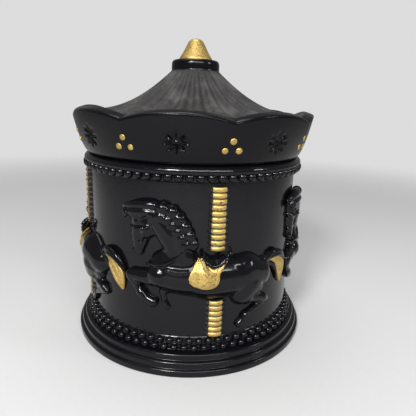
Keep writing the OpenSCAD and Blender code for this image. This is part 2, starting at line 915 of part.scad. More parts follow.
module bearing_left() {
    color([0.75, 0.6, 0.3])
    bearing_plate(bearing_l_x);
}

module bearing_right() {
    color([0.75, 0.6, 0.3])
    bearing_plate(bearing_r_x);
}

module comb() {
    color([0.72, 0.73, 0.75])
    difference() {
        union() {
            translate([drum_x, comb_plate_y, axis_z - tine_t / 2])
            cube([drum_len, comb_plate_w, comb_plate_t]);
            for (i = [0 : comb_n - 1])
                translate([drum_x + (i + 0.5) * tine_pitch - tine_w / 2, comb_y, axis_z - tine_t / 2])
                cube([tine_w, tine_len + eps, tine_t]);
        }
        for (x = comb_screw_xs)
            translate([x, comb_screw_y, axis_z - 2])
            cylinder(r = comb_screw_r + fix_gap, h = comb_plate_t + 4);
    }
}

module comb_screws() {
    color([0.78, 0.66, 0.36])
    for (x = comb_screw_xs)
        translate([x, comb_screw_y, axis_z - tine_t / 2 + comb_plate_t])
        difference() {
            union() {
                cylinder(r = comb_head_r, h = comb_head_h);
                translate([0, 0, -(comb_plate_t + comb_screw_sink - 0.5)])
                cylinder(r = comb_screw_r, h = comb_plate_t + comb_screw_sink);
            }
            translate([-comb_head_r - 1, -0.25, comb_head_h - 0.4])
            cube([2 * comb_head_r + 2, 0.5, 1]);
        }
}

gov_plate_y0 = gov_y - gov_plate_half;
gov_plate_y1 = gov_y + gov_plate_half;

module governor_frame() {
    color([0.75, 0.6, 0.3])
    difference() {
        union() {
            translate([bearing_r_x, gov_plate_y0, bed_top])
            cube([bearing_t, gov_plate_y1 - gov_plate_y0, frame_top + foot_t - bed_top]);
            for (z = [bed_top, frame_top])
                translate([bearing_r_x, bed_tab_y, z])
                cube([bed_x1 - bearing_r_x, gov_plate_y1 - bed_tab_y, foot_t]);
        }
        translate([bearing_r_x - 1, gov_y, axis_z])
        rotate([0, 90, 0])
        cylinder(r = thin_arbor_r + run_gap, h = bearing_t + 2);
        translate([worm_x, worm_y, bed_top - 1])
        cylinder(r = pivot_r + run_gap, h = frame_top);
    }
}

// ---------- movement: key, arbor and contrate gear ----------

module key_wing_outline() {
    polygon([
        [0, 1.4], [key_w * 0.16, 2], [key_w * 0.32, 0.5], [key_w * 0.44, 0.6], [key_w * 0.5, key_h * 0.3],
        [key_w * 0.5, key_h * 0.62], [key_w * 0.45, key_h * 0.88], [key_w * 0.34, key_h],
        [key_w * 0.2, key_h * 0.96], [key_w * 0.12, key_h * 0.82], [0, key_h * 0.8]
    ]);
}

module winding_key() {
    color([0.75, 0.75, 0.76])
    translate([arbor_x, 0, key_z])
    difference() {
        union() {
            translate([0, 0, 1])
            cylinder(r = key_hub_r, h = key_h - 0.2);
            for (a = [90, 270])
                rotate([0, 0, a])
                translate([0, key_t / 2, 0])
                rotate([90, 0, 0])
                linear_extrude(key_t)
                key_wing_outline();
        }
        translate([0, 0, 2])
        cylinder(r = arbor_r + fix_gap, h = key_h + 2);
    }
}

module winding_arbor() {
    color([0.6, 0.6, 0.62])
    translate([arbor_x, 0, key_z + 2 + fix_gap])
    cylinder(r = arbor_r, h = arbor_top - key_z - 2 - fix_gap);
}

// Contrate gear: a disc whose teeth point down, each a bar that lies along a radius
module drive_gear() {
    r0 = crown_pitch_r - crown_half_w;
    r1 = crown_pitch_r + crown_half_w;
    pitch = PI * crown_m;
    root_w = 0.36 * pitch;
    tip_w = 0.22 * pitch;
    tooth_h = (add_k + ded_k) * crown_m;
    color([0.78, 0.64, 0.34])
    translate([arbor_x, 0, crown_root_z])
    difference() {
        union() {
            cylinder(r = r1, h = crown_disc_t);
            for (i = [0 : crown_n - 1])
                rotate([0, 0, (i + 0.5) * 360 / crown_n])
                translate([r0, 0, 0])
                rotate([90, 0, 90])
                linear_extrude(2 * crown_half_w - 0.3)
                polygon([
                    [-root_w / 2, eps], [-tip_w / 2, -tooth_h], [tip_w / 2, -tooth_h], [root_w / 2, eps]
                ]);
        }
        translate([0, 0, -5])
        cylinder(r = arbor_r + fix_gap, h = 10);
    }
}

// ---------- movement: cylinder and governor ----------

// Outline of a spur gear of n teeth whose first tooth, or first gap, points along +X
function gear_outline(n, m, gap_first) =
    let (
        r = m * n / 2,
        root = r - ded_k * m,
        tip = r + add_k * m,
        step = 360 / n,
        root_a = 0.22 * step,
        tip_a = 0.11 * step * r / tip
    )
    [for (i = [0 : n - 1], k = [[root, -root_a], [tip, -tip_a], [tip, tip_a], [root, root_a]])
        let (a = (i + (gap_first ? 0.5 : 0)) * step + k[1])
        [k[0] * cos(a), k[0] * sin(a)]];

// A spur gear on a shaft along X: the outline's +X points along -Y in the part
module gear_along_x(n, m, t, bore, gap_first) {
    rotate([0, 90, 0])
    rotate([0, 0, -90])
    difference() {
        linear_extrude(t)
        polygon(gear_outline(n, m, gap_first));
        translate([0, 0, -1])
        cylinder(r = bore, h = t + 2);
    }
}

module cylinder_pinion() {
    color([0.78, 0.64, 0.34])
    translate([cyl_pinion_x - crown_half_w, 0, axis_z])
    rotate([-90, 0, 0])
    gear_along_x(cyl_pinion_n, crown_m, 2 * crown_half_w, thin_arbor_r + fix_gap, false);
}

module cylinder_wheel() {
    color([0.78, 0.64, 0.34])
    translate([wheel_x, 0, axis_z])
    gear_along_x(wheel_n, wheel_m, gear_t, thin_arbor_r + fix_gap, false);
}

module cylinder_drum() {
    color([0.8, 0.66, 0.36])
    translate([drum_x, 0, axis_z])
    rotate([0, 90, 0])
    difference() {
        cylinder(r = drum_r, h = drum_len);
        translate([0, 0, drum_t])
        cylinder(r = drum_r - drum_t, h = drum_len - 2 * drum_t);
        translate([0, 0, -1])
        cylinder(r = thin_arbor_r + fix_gap, h = drum_len + 2);
    }
}

pins_per_tooth = 3;
pin_r = 0.2;
pin_turn = 137.5;

module cylinder_pins() {
    color([0.8, 0.8, 0.82])
    for (i = [0 : comb_n - 1], k = [0 : pins_per_tooth - 1])
        translate([drum_x + (i + 0.5) * tine_pitch, 0, axis_z])
        rotate([(i * pins_per_tooth + k) * pin_turn, 0, 0])
        translate([0, 0, drum_r])
        cylinder(r = pin_r, h = pin_h, $fn = 8);
}

module cylinder_arbor() {
    color([0.6, 0.6, 0.62])
    translate([cyl_pinion_x - crown_half_w, 0, axis_z])
    rotate([0, 90, 0])
    cylinder(r = thin_arbor_r, h = bearing_r_x + bearing_t + 0.3 - cyl_pinion_x + crown_half_w);
}

// The governor's arbor carries its pinion in one piece
module governor_arbor() {
    color([0.6, 0.6, 0.62])
    union() {
        translate([wheel_x, gov_y, axis_z])
        rotate([180, 0, 0])
        gear_along_x(gov_pinion_n, wheel_m, gear_t, 0.3, true);
        translate([wheel_x, gov_y, axis_z])
        rotate([0, 90, 0])
        cylinder(r = thin_arbor_r, h = worm_wheel_x + gear_t + 0.3 - wheel_x);
    }
}

module worm_wheel() {
    color([0.78, 0.64, 0.34])
    translate([worm_wheel_x, gov_y, axis_z])
    gear_along_x(worm_wheel_n, worm_m, gear_t, thin_arbor_r + fix_gap, false);
}

thread_steps = 14;
thread_root_w = 0.36 * worm_lead;
thread_tip_w = 0.2 * worm_lead;
worm_core_r = worm_r - ded_k * worm_m;
worm_tip_r = worm_r + add_k * worm_m;

// A thin slice of the thread at i steps up the helix, thread crest half a lead off the wheel's middle
module thread_slice(i) {
    a = i * 360 / thread_steps;
    z = worm_z + (i / thread_steps + 0.25) * worm_lead;
    rotate([0, 0, a])
    translate([0, 0, z])
    rotate([90, 0, 0])
    linear_extrude(0.02)
    polygon([
        [worm_core_r * 0.6, -thread_root_w / 2], [worm_tip_r, -thread_tip_w / 2],
        [worm_tip_r, thread_tip_w / 2], [worm_core_r * 0.6, thread_root_w / 2]
    ]);
}

module governor_worm() {
    color([0.6, 0.6, 0.62])
    translate([worm_x, worm_y, 0])
    union() {
        translate([0, 0, worm_z - 0.5])
        cylinder(r = worm_core_r, h = worm_top - worm_z + 1, $fn = 24);
        translate([0, 0, bed_top + 0.1])
        cylinder(r = pivot_r, h = fan_z + fan_h - bed_top, $fn = 24);
        for (i = [0 : thread_steps * (worm_turns - 1) - 1])
            hull() {
                thread_slice(i);
                thread_slice(i + 1);
            }
    }
}

module governor_fan() {
    color([0.72, 0.73, 0.75])
    translate([worm_x, worm_y, fan_z])
    difference() {
        union() {
            cylinder(r = pivot_r + 0.5, h = fan_h);
            translate([-fan_r, -0.15, 0.2])
            cube([2 * fan_r, 0.3, fan_h - 0.4]);
        }
        translate([0, 0, -1])
        cylinder(r = pivot_r + fix_gap, h = fan_h + 2);
    }
}

jar_body();
plinth_beads_lower();
plinth_beads_upper();
rim_band();
rim_beads();
round_jar(1) horse();  // horse_1
round_jar(2) horse();  // horse_2
round_jar(3) horse();  // horse_3
round_jar(4) horse();  // horse_4
round_jar(1) saddle();  // saddle_1
round_jar(2) saddle();  // saddle_2
round_jar(3) saddle();  // saddle_3
round_jar(4) saddle();  // saddle_4
round_jar(1) tail();  // tail_1
round_jar(2) tail();  // tail_2
round_jar(3) tail();  // tail_3
round_jar(4) tail();  // tail_4
round_jar(1) pole();  // pole_1
round_jar(2) pole();  // pole_2
round_jar(3) pole();  // pole_3
round_jar(4) pole();  // pole_4
lid();
finial();
lid_dots();
base_plate();
base_screws();
movement_screws();
bedplate();
spring_housing();
mainspring();
bearing_left();
bearing_right();
comb();
comb_screws();
governor_frame();
winding_key();
winding_arbor();
drive_gear();
cylinder_drum();
cylinder_pins();
cylinder_arbor();
cylinder_pinion();
cylinder_wheel();
governor_arbor();
worm_wheel();
governor_worm();
governor_fan();
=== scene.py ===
"""Dresses the carousel music box: black lacquer, hand-painted gold, horses in relief and a fluted lid.

Every mesh is modelled in millimetres in the row frame, +Z up, and scaled to metres when it is finished.
Relief is modelled flat, X along the wall from a pole, -Y out of the wall, and bent round the jar.
"""
import logging
import math
from contextlib import contextmanager
from dataclasses import dataclass
from enum import Enum
from typing import Callable, Iterator, Sequence

import bpy
import numpy as np
from mathutils import Matrix, Vector


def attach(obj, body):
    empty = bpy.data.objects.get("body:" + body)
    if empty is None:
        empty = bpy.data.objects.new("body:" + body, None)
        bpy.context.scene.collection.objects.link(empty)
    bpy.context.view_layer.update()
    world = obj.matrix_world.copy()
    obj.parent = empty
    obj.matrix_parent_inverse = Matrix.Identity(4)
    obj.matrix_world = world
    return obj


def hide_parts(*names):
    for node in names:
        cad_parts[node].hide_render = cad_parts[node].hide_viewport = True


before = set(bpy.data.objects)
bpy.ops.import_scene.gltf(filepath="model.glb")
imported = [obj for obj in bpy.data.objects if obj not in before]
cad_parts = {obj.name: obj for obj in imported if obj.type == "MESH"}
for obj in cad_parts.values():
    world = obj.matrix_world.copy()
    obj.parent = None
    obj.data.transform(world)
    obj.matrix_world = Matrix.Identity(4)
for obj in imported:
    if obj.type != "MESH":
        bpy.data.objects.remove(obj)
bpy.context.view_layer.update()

LOG = logging.getLogger("music_box")
MM = 0.001
Point2 = tuple[float, float]
Point3 = tuple[float, float, float]
Piece = bpy.types.Object


# ---------- shader graphs ----------


def operator(operation: str, swapped: bool = False) -> Callable[..., "Socket"]:
    """A method that adds a Math node.

    Args:
        operation: The node's operation.
        swapped: True to put the other value first.

    Returns:
        The method.
    """

    def method(self: "Socket", other: "Socket | float") -> "Socket":
        """Adds the node and returns its value."""
        return self.graph.math(operation, *((other, self) if swapped else (self, other)))

    return method


class Socket:
    """A shader value that grows Math nodes when Python operators are used on it."""

    __add__, __radd__ = operator("ADD"), operator("ADD", True)
    __sub__, __rsub__ = operator("SUBTRACT"), operator("SUBTRACT", True)
    __mul__, __rmul__ = operator("MULTIPLY"), operator("MULTIPLY", True)
    __pow__ = operator("POWER")
    modulo = operator("FLOORED_MODULO")

    def __init__(self, graph: "Graph", link: bpy.types.NodeSocket) -> None:
        """Wraps an output socket of the graph."""
        self.graph = graph
        self.link = link

    def __abs__(self) -> "Socket":
        """Absolute value."""
        return self.graph.math("ABSOLUTE", self)

    def step(self, low: float, high: float) -> "Socket":
        """A soft step from 0 at low to 1 at high; low may be the larger."""
        inputs = {"Value": self, "From Min": low, "From Max": high}
        return self.graph.out("ShaderNodeMapRange", {"interpolation_type": "SMOOTHSTEP"}, inputs)


class Graph:
    """The node tree of one material, with its Principled shader."""

    def __init__(self, name: str) -> None:
        """Starts a material.

        Args:
            name: The material's name.
        """
        self.material = bpy.data.materials.new(name)
        self.material.use_nodes = True
        self.tree = self.material.node_tree
        self.tree.nodes.clear()
        self.shader = self.node("ShaderNodeBsdfPrincipled", {}, {})
        output = self.node("ShaderNodeOutputMaterial", {}, {})
        self.tree.links.new(self.shader.outputs["BSDF"], output.inputs["Surface"])

    def node(self, kind: str, settings: dict, inputs: dict) -> bpy.types.Node:
        """Adds any node.

        Args:
            kind: The node's type.
            settings: Properties that are set first.
            inputs: Values, colours or Sockets for its inputs, by name or index.

        Returns:
            The new node.
        """
        node = self.tree.nodes.new(kind)
        for key, value in settings.items():
            setattr(node, key, value)
        for key, value in inputs.items():
            self.feed(node.inputs[key], value)
        return node

    def feed(self, target: bpy.types.NodeSocket, value: object) -> None:
        """Links an input to a Socket or sets it, with full alpha for a colour.

        Args:
            target: The input.
            value: A Socket, number, vector or colour.
        """
        if isinstance(value, Socket):
            self.tree.links.new(value.link, target)
        elif target.type == "RGBA":
            target.default_value = (*value, 1.0)
        else:
            target.default_value = value

    def out(self, kind: str, settings: dict, inputs: dict, output: int | str = 0) -> Socket:
        """Adds a node and returns one of its outputs as a Socket."""
        return Socket(self, self.node(kind, settings, inputs).outputs[output])

    def math(self, operation: str, *values: Socket | float) -> Socket:
        """Adds a Math node on up to three values."""
        return self.out("ShaderNodeMath", {"operation": operation}, dict(enumerate(values)))

    def position(self) -> Socket:
        """The point on the piece in millimetres of the row frame."""
        return self.scaled(self.out("ShaderNodeTexCoord", {}, {}, "Object"), (1 / MM,) * 3)

    def scaled(self, vector: Socket, factor: Point3) -> Socket:
        """A vector times a triple, part by part."""
        return self.out("ShaderNodeVectorMath", {"operation": "MULTIPLY"}, {0: vector, 1: factor})

    def parts(self, vector: Socket) -> tuple[Socket, Socket, Socket]:
        """The X, Y and Z of a vector."""
        node = self.node("ShaderNodeSeparateXYZ", {}, {0: vector})
        return tuple(Socket(self, node.outputs[i]) for i in range(3))

    def noise(self, place: Socket, size_mm: float, detail: float = 3.0, rough: float = 0.55) -> Socket:
        """Noise from 0 to 1 whose blotches are about size_mm across."""
        inputs = {"Vector": place, "Scale": 1 / size_mm, "Detail": detail, "Roughness": rough}
        return self.out("ShaderNodeTexNoise", {}, inputs)

    def specks(self, place: Socket, size_mm: float, cut: float) -> Socket:
        """Round specks, 1 inside and 0 outside, one in each cell of size_mm."""
        inputs = {"Vector": place, "Scale": 1 / size_mm}
        return self.out("ShaderNodeTexVoronoi", {}, inputs).step(cut, cut * 0.5)

    def mix(self, share: Socket | float, first: object, second: object) -> Socket:
        """A blend of two colours."""
        return self.out("ShaderNodeMix", {"data_type": "RGBA"}, {"Factor": share, 6: first, 7: second}, 2)

    def bump(self, height: Socket, depth_mm: float) -> None:
        """Bends the shading normal by a height from 0 to 1 that stands for depth_mm."""
        node = self.node("ShaderNodeBump", {}, {"Distance": depth_mm * MM, "Height": height})
        self.tree.links.new(node.outputs["Normal"], self.shader.inputs["Normal"])

    def set(self, **values: object) -> None:
        """Feeds the shader's inputs, written with underscores for spaces."""
        for key, value in values.items():
            self.feed(self.shader.inputs[key.replace("_", " ")], value)


# ---------- finishes ----------


@dataclass(frozen=True)
class Lacquer:
    """Brushed-on black lacquer over cast resin: deep, glossy, a little uneven and dusty in places."""

    name: str
    colour: Point3 = (0.003, 0.003, 0.0042)
    dust: Point3 = (0.05, 0.052, 0.058)
    smooth: float = 0.15
    dull: float = 0.3
    coat: float = 0.26
    shine: float = 0.14
    sag_mm: float = 0.16
    peel_mm: float = 0.035

    def material(self) -> bpy.types.Material:
        """Builds the lacquer, with specks and faint clouds of dust scattered over it.

        Returns:
            The material.
        """
        g = Graph(self.name)
        place = g.position()
        cloud = g.noise(place, 14, 3)
        peel = g.noise(place, 0.9, 2)
        grit = g.specks(place, 1.3, 0.1) * g.noise(place, 5).step(0.5, 0.7)
        smear = g.noise(g.scaled(place, (1, 1, 0.25)), 3, 4)
        g.set(
            Base_Color=g.mix(grit * 0.7 + cloud.step(0.62, 0.9) * 0.1, self.colour, self.dust),
            Roughness=self.smooth + (self.dull - self.smooth) * smear.step(0.48, 0.8) + grit * 0.3,
            Coat_Weight=self.coat - 0.08 * smear.step(0.5, 0.85),
            Coat_Roughness=0.07,
            Specular_IOR_Level=self.shine,
        )
        g.bump(cloud * 0.75 + peel * (self.peel_mm / self.sag_mm) + grit * 0.12, self.sag_mm)
        return g.material


@dataclass(frozen=True)
class SatinRoof:
    """Lid lacquer: glossy on the valance and collar, satin and finely speckled on the fluted roof, whose
    lighter grey is partly chalk and partly painted light from above.
    """

    name: str
    collar_z: float
    foot_z: float
    foot_r: float
    colour: Point3 = (0.003, 0.003, 0.004)
    # grey of the roof: partly a chalky film, partly painted light falling on the roof from above
    chalk_and_top_light: Point3 = (0.13, 0.124, 0.12)
    speck: Point3 = (0.22, 0.21, 0.2)

    def material(self) -> bpy.types.Material:
        """Builds the lacquer, with the satin kept to the roof by the place on the lid.

        Returns:
            The material.
        """
        g = Graph(self.name)
        place = g.position()
        x, y, z = g.parts(place)
        radius = (x * x + y * y) ** 0.5
        wander = g.noise(place, 2) * 0.8
        roof = (radius + wander).step(self.foot_r + 0.6, self.foot_r - 0.8)
        roof = roof * z.step(self.foot_z - 6.0, self.foot_z - 4.0)
        roof = roof * (z + wander).step(self.collar_z + 0.4, self.collar_z - 0.4)
        grain = g.noise(place, 0.35, 3, 0.7)
        cloud = g.noise(place, 9, 4)
        dots = g.specks(place, 0.8, 0.14) * g.noise(place, 3).step(0.45, 0.65)
        # where the roof is painted a lighter grey: partly chalk, partly painted light from above
        chalk_and_top_light = roof * (0.4 + 0.6 * cloud.step(0.4, 0.75))
        colour = g.mix(chalk_and_top_light * grain, self.colour, self.chalk_and_top_light)
        g.set(
            Base_Color=g.mix(dots * roof * 0.6, colour, self.speck),
            Roughness=0.19 + roof * (0.3 + 0.16 * grain) + 0.16 * cloud.step(0.55, 0.8),
            Coat_Weight=0.1 * (1 - roof),
            Coat_Roughness=0.05,
            Specular_IOR_Level=0.12,
        )
        height = cloud * 0.6 + roof * grain * 0.35 + g.noise(place, 0.9, 2) * 0.12 + dots * roof * 0.2
        g.bump(height, 0.14)
        return g.material


@dataclass(frozen=True)
class GoldPaint:
    """Metallic gold paint brushed over black by hand, with grain, streaks and bare spots."""

    name: str
    bare: float
    light: Point3 = (0.68, 0.49, 0.155)
    deep: Point3 = (0.26, 0.155, 0.032)
    under: Point3 = (0.012, 0.011, 0.011)
    grain_mm: float = 0.3
    streak: Point3 = (1.0, 1.0, 1.0)
    spot_mm: float = 1.1
    pole_half_width: float = 0.0
    wall_r: float = 42.0
    rib_h: float = 2.049
    rib_feet: Point2 = (12.42, 44.96)
    belly_z: Point2 = (34.0, 36.0)

    def painted(self, g: Graph, place: Socket) -> Socket:
        """Thins the paint in spots, keeps it off a pole's sides and out of its groove bottoms, which are partly
        bare black and partly painted shade.

        Args:
            g: The material's graph.
            place: The point on the piece, in millimetres.

        Returns:
            The share of paint, from 0 to 1.
        """
        cover = g.noise(place, self.spot_mm, 4, 0.65)
        share = cover.step(self.bare - 0.03, self.bare + 0.05)
        if self.pole_half_width:
            x, y, z = g.parts(place)
            quarter = math.pi / 2
            angle = g.math("ARCTAN2", x, y * -1.0) + quarter / 2
            along = (angle.modulo(quarter) - quarter / 2) * self.wall_r
            edge = abs(along - 0.3) + (cover - 0.5) * 0.9
            share = share * edge.step(self.pole_half_width + 0.1, self.pole_half_width - 0.1)
            # the groove bottoms between ribs go dark: partly bare black ground, partly painted shade in the
            # grooves
            low, high = self.rib_feet
            rise = z - low - z.step(*self.belly_z) * (high - low)
            off = abs(rise.modulo(self.rib_h) - self.rib_h / 2)
            share = share * (off + (cover - 0.5) * 0.25).step(self.rib_h / 2 - 0.12, self.rib_h / 2 - 0.32)
        return share

    def material(self) -> bpy.types.Material:
        """Builds the paint over its black ground.

        Returns:
            The material.
        """
        g = Graph(self.name)
        place = g.position()
        grain = g.noise(place, self.grain_mm, 4, 0.75)
        brush = g.noise(g.scaled(place, self.streak), 0.7, 5, 0.7)
        broad = g.noise(place, 4, 2)
        paint = self.painted(g, place)
        tone = (grain * 0.55 + brush * 0.35 + broad * 0.3).step(0.36, 0.78)
        gold = g.mix(tone, self.deep, self.light)
        g.set(
            Base_Color=g.mix(paint, self.under, gold),
            Metallic=paint * 0.8,
            Roughness=0.14 + paint * (0.18 + 0.26 * grain.step(0.35, 0.7)),
            Coat_Weight=0.25 * (1 - paint) + 0.08,
        )
        g.bump(grain * 0.5 + brush * 0.45 + paint * 0.25, 0.13)
        return g.material


@dataclass(frozen=True)
class Board:
    """Black stained fibreboard."""

    name: str
    light: Point3 = (0.075, 0.062, 0.052)
    dark: Point3 = (0.022, 0.019, 0.017)

    def material(self) -> bpy.types.Material:
        """Builds the fibres and blotches.

        Returns:
            The material.
        """
        g = Graph(self.name)
        place = g.position()
        fibre = g.noise(g.scaled(place, (1, 0.22, 1)), 0.8, 6, 0.7)
        blotch = g.noise(place, 8)
        g.set(
            Base_Color=g.mix(fibre.step(0.4, 0.75) * (0.4 + 0.6 * blotch), self.dark, self.light),
            Roughness=0.62 + 0.2 * fibre,
        )
        g.bump(fibre, 0.09)
        return g.material


class Polish(Enum):
    """How a metal surface was left: its roughness and the depth of its marks in millimetres."""

    PLATED = (0.12, 0.01)
    GROUND = (0.26, 0.02)
    CAST = (0.42, 0.08)


@dataclass(frozen=True)
class Metal:
    """Bare or plated metal: ground steel shows fine lines, cast zinc shows a pitted skin."""

    name: str
    colour: Point3
    polish: Polish
    stain: Point3 = (0.2, 0.16, 0.1)

    def material(self) -> bpy.types.Material:
        """Builds the metal with its marks and stains.

        Returns:
            The material.
        """
        g = Graph(self.name)
        place = g.position()
        blotch = g.noise(place, 3.5, 4)
        lines = g.noise(g.scaled(place, (0.2, 3, 3)), 0.4, 4)
        pits = g.noise(place, 0.45, 5, 0.7)
        detail = pits if self.polish is Polish.CAST else lines
        base, depth = self.polish.value
        g.set(
            Base_Color=g.mix(blotch.step(0.6, 0.85) * 0.5, self.colour, self.stain),
            Metallic=1.0,
            Roughness=base + 0.18 * detail + 0.15 * blotch.step(0.55, 0.8),
        )
        g.bump(detail, depth)
        return g.material


# ---------- modelling by hand ----------


def take(*pieces: Piece) -> None:
    """Selects these pieces alone and makes the first one active.

    Args:
        pieces: What is selected.
    """
    for thing in list(bpy.context.selected_objects):
        thing.select_set(False)
    for piece in pieces:
        piece.select_set(True)
    bpy.context.view_layer.objects.active = pieces[0]


@contextmanager
def editing(piece: Piece) -> Iterator[None]:
    """Opens a piece in edit mode with all of it selected, and closes it again.

    Args:
        piece: The piece to edit.

    Yields:
        Nothing, while the piece is open.
    """
    take(piece)
    bpy.ops.object.mode_set(mode="EDIT")
    bpy.ops.mesh.select_all(action="SELECT")
    yield
    bpy.ops.object.mode_set(mode="OBJECT")


def named(name: str) -> Piece:
    """Names the primitive that was just added.

    Args:
        name: Its name.

    Returns:
        The primitive.
    """
    piece = bpy.context.object
    piece.name = name
    piece.data.name = name
    return piece


def joined(name: str, pieces: Sequence[Piece]) -> Piece:
    """Joins pieces into one.

    Args:
        name: The name of the whole.
        pieces: What is joined and used up.

    Returns:
        The whole.
    """
    take(*pieces)
    if len(pieces) > 1:
        bpy.ops.object.join()
    return named(name)


def reshape(piece: Piece, shape: Callable[[np.ndarray], np.ndarray]) -> None:
    """Moves a piece's points.

    Args:
        piece: The piece to change.
        shape: Gives the new (count, 3) array of points from the old one.
    """
    mesh = piece.data
    points = np.empty(len(mesh.vertices) * 3)
    mesh.vertices.foreach_get("co", points)
    mesh.vertices.foreach_set("co", shape(points.reshape(-1, 3)).ravel())
    mesh.update()


def use_modifier(piece: Piece, kind: str, **settings: object) -> None:
    """Adds a modifier and applies it.

    Args:
        piece: The piece to change.
        kind: The modifier's type.
        settings: The modifier's properties.
    """
    take(piece)
    modifier = piece.modifiers.new(kind.lower(), kind)
    for key, value in settings.items():
        setattr(modifier, key, value)
    bpy.ops.object.modifier_apply(modifier=modifier.name)


def melt(name: str, forms: Sequence[Piece], voxel: float, factor: float, rounds: int) -> Piece:
    """Joins forms and melts them into one smooth skin.

    Args:
        name: The skin's name.
        forms: What is joined and used up.
        voxel: Grain of the remesh in millimetres.
        factor: Share of each smoothing step.
        rounds: Number of smoothing steps.

    Returns:
        The skin.
    """
    piece = joined(name, forms)
    use_modifier(piece, "REMESH", mode="VOXEL", voxel_size=voxel)
    use_modifier(piece, "SMOOTH", factor=factor, iterations=rounds)
    return piece


def tidy_skin(piece: Piece) -> None:
    """Merges points that lie on each other and turns every face outwards.

    Args:
        piece: The piece to clean.
    """
    with editing(piece):
        bpy.ops.mesh.remove_doubles(threshold=0.001)
        bpy.ops.mesh.normals_make_consistent(inside=False)


def rounded(corners: Sequence[Point3]) -> list[Point2]:
    """Rounds the corners of a profile.

    Args:
        corners: Points as (radius, height, rounding), where 0 leaves a corner sharp.

    Returns:
        The profile's points.
    """
    profile: list[Point2] = []
    for i, (x, z, fillet) in enumerate(corners):
        if fillet <= 0 or i in (0, len(corners) - 1):
            profile.append((x, z))
            continue
        here = Vector((x, z))
        back = Vector(corners[i - 1][:2]) - here
        on = Vector(corners[i + 1][:2]) - here
        start = here + back.normalized() * min(fillet, back.length * 0.49)
        end = here + on.normalized() * min(fillet, on.length * 0.49)
        for t in (0, 1 / 3, 2 / 3, 1):
            point = start * (1 - t) ** 2 + here * (2 * t * (1 - t)) + end * t ** 2
            profile.append((point.x, point.y))
    return profile


def lathe(name: str, profile: Sequence[Point2], steps: int, closed: bool = False) -> Piece:
    """Turns a profile of (radius, height) round the Z axis.

    Args:
        name: The piece's name.
        profile: Points from one end to the other; radius 0 closes an end.
        steps: Segments round the turn.
        closed: True where the profile comes back to its first point.

    Returns:
        The turned piece, with its faces outwards.
    """
    points = list(profile) + ([profile[0]] if closed else [])
    bpy.ops.mesh.primitive_plane_add(size=1.0)
    piece = named(name)
    with editing(piece):
        bpy.ops.mesh.merge(type="CENTER")
        bpy.ops.transform.translate(value=(points[0][0], 0, points[0][1]))
        for (x0, z0), (x1, z1) in zip(points, points[1:]):
            bpy.ops.mesh.extrude_region_move(TRANSFORM_OT_translate={"value": (x1 - x0, 0, z1 - z0)})
        bpy.ops.mesh.select_all(action="SELECT")
        bpy.ops.mesh.spin(steps=steps, angle=2 * math.pi, center=(0, 0, 0), axis=(0, 0, 1), use_auto_merge=True)
    tidy_skin(piece)
    return piece


def twin_of(piece: Piece, place: Matrix) -> Piece:
    """Copies a piece.

    Args:
        piece: What is copied.
        place: Where the copy's own mesh is moved to.

    Returns:
        The copy.
    """
    twin = piece.copy()
    twin.data = piece.data.copy()
    twin.data.transform(place)
    bpy.context.collection.objects.link(twin)
    return twin


def copies(piece: Piece, name: str, places: Sequence[Matrix]) -> Piece:
    """Sets a copy of a piece at each place and joins them.

    Args:
        piece: What is copied and used up.
        name: The name of the whole.
        places: Where the copies go.

    Returns:
        The whole.
    """
    made = [twin_of(piece, place) for place in places]
    bpy.data.objects.remove(piece)
    return joined(name, made)


def ball(segments: int = 16, rings: int = 10) -> Piece:
    """A ball of radius 1 at the origin."""
    bpy.ops.mesh.primitive_uv_sphere_add(segments=segments, ring_count=rings, radius=1.0)
    return bpy.context.object


def muscle(a: Sequence[float], b: Sequence[float]) -> Piece:
    """A ball pulled out into a tapered limb of a relief.

    Args:
        a: One end as [along the wall, height, off the wall, radius].
        b: The other end.

    Returns:
        The limb, with X along the wall and -Y off it.
    """
    piece = ball()
    ends = [Vector((p[0], -p[2], p[1])) for p in (a, b)]
    turn = np.array((ends[1] - ends[0]).to_track_quat("Z", "Y").to_matrix())

    def pull(points: np.ndarray) -> np.ndarray:
        """Moves the upper half to b and the lower half to a.

        Args:
            points: The ball's points.

        Returns:
            The limb's points.
        """
        upper = points[:, 2:3] > 1e-4
        radius = np.where(upper, b[3], a[3])
        centre = np.where(upper, np.array(ends[1]), np.array(ends[0]))
        return centre + (points @ turn.T) * radius

    reshape(piece, pull)
    return piece


def strand(path: Sequence[Sequence[float]]) -> Piece:
    """A smooth tapered lock of hair or strap.

    Args:
        path: Points as [along the wall, height, off the wall, radius].

    Returns:
        The lock, capped at its ends.
    """
    curve = bpy.data.curves.new("strand", "CURVE")
    curve.dimensions = "3D"
    curve.bevel_depth = 1.0
    curve.bevel_resolution = 4
    curve.use_fill_caps = True
    spline = curve.splines.new("NURBS")
    spline.points.add(len(path) - 1)
    spline.order_u = 3
    spline.resolution_u = 6
    spline.use_endpoint_u = True
    for point, (s, z, depth, radius) in zip(spline.points, path):
        point.co = (s, -depth, z, 1)
        point.radius = radius
    piece = bpy.data.objects.new("strand", curve)
    bpy.context.collection.objects.link(piece)
    take(piece)
    bpy.ops.object.convert(target="MESH")
    return bpy.context.object


def cut_back(piece: Piece, inside: float = 0.7) -> None:
    """Cuts off what lies deeper than Y = inside."""
    with editing(piece):
        bpy.ops.mesh.bisect(plane_co=(0, inside, 0), plane_no=(0, 1, 0), clear_outer=True, use_fill=True)


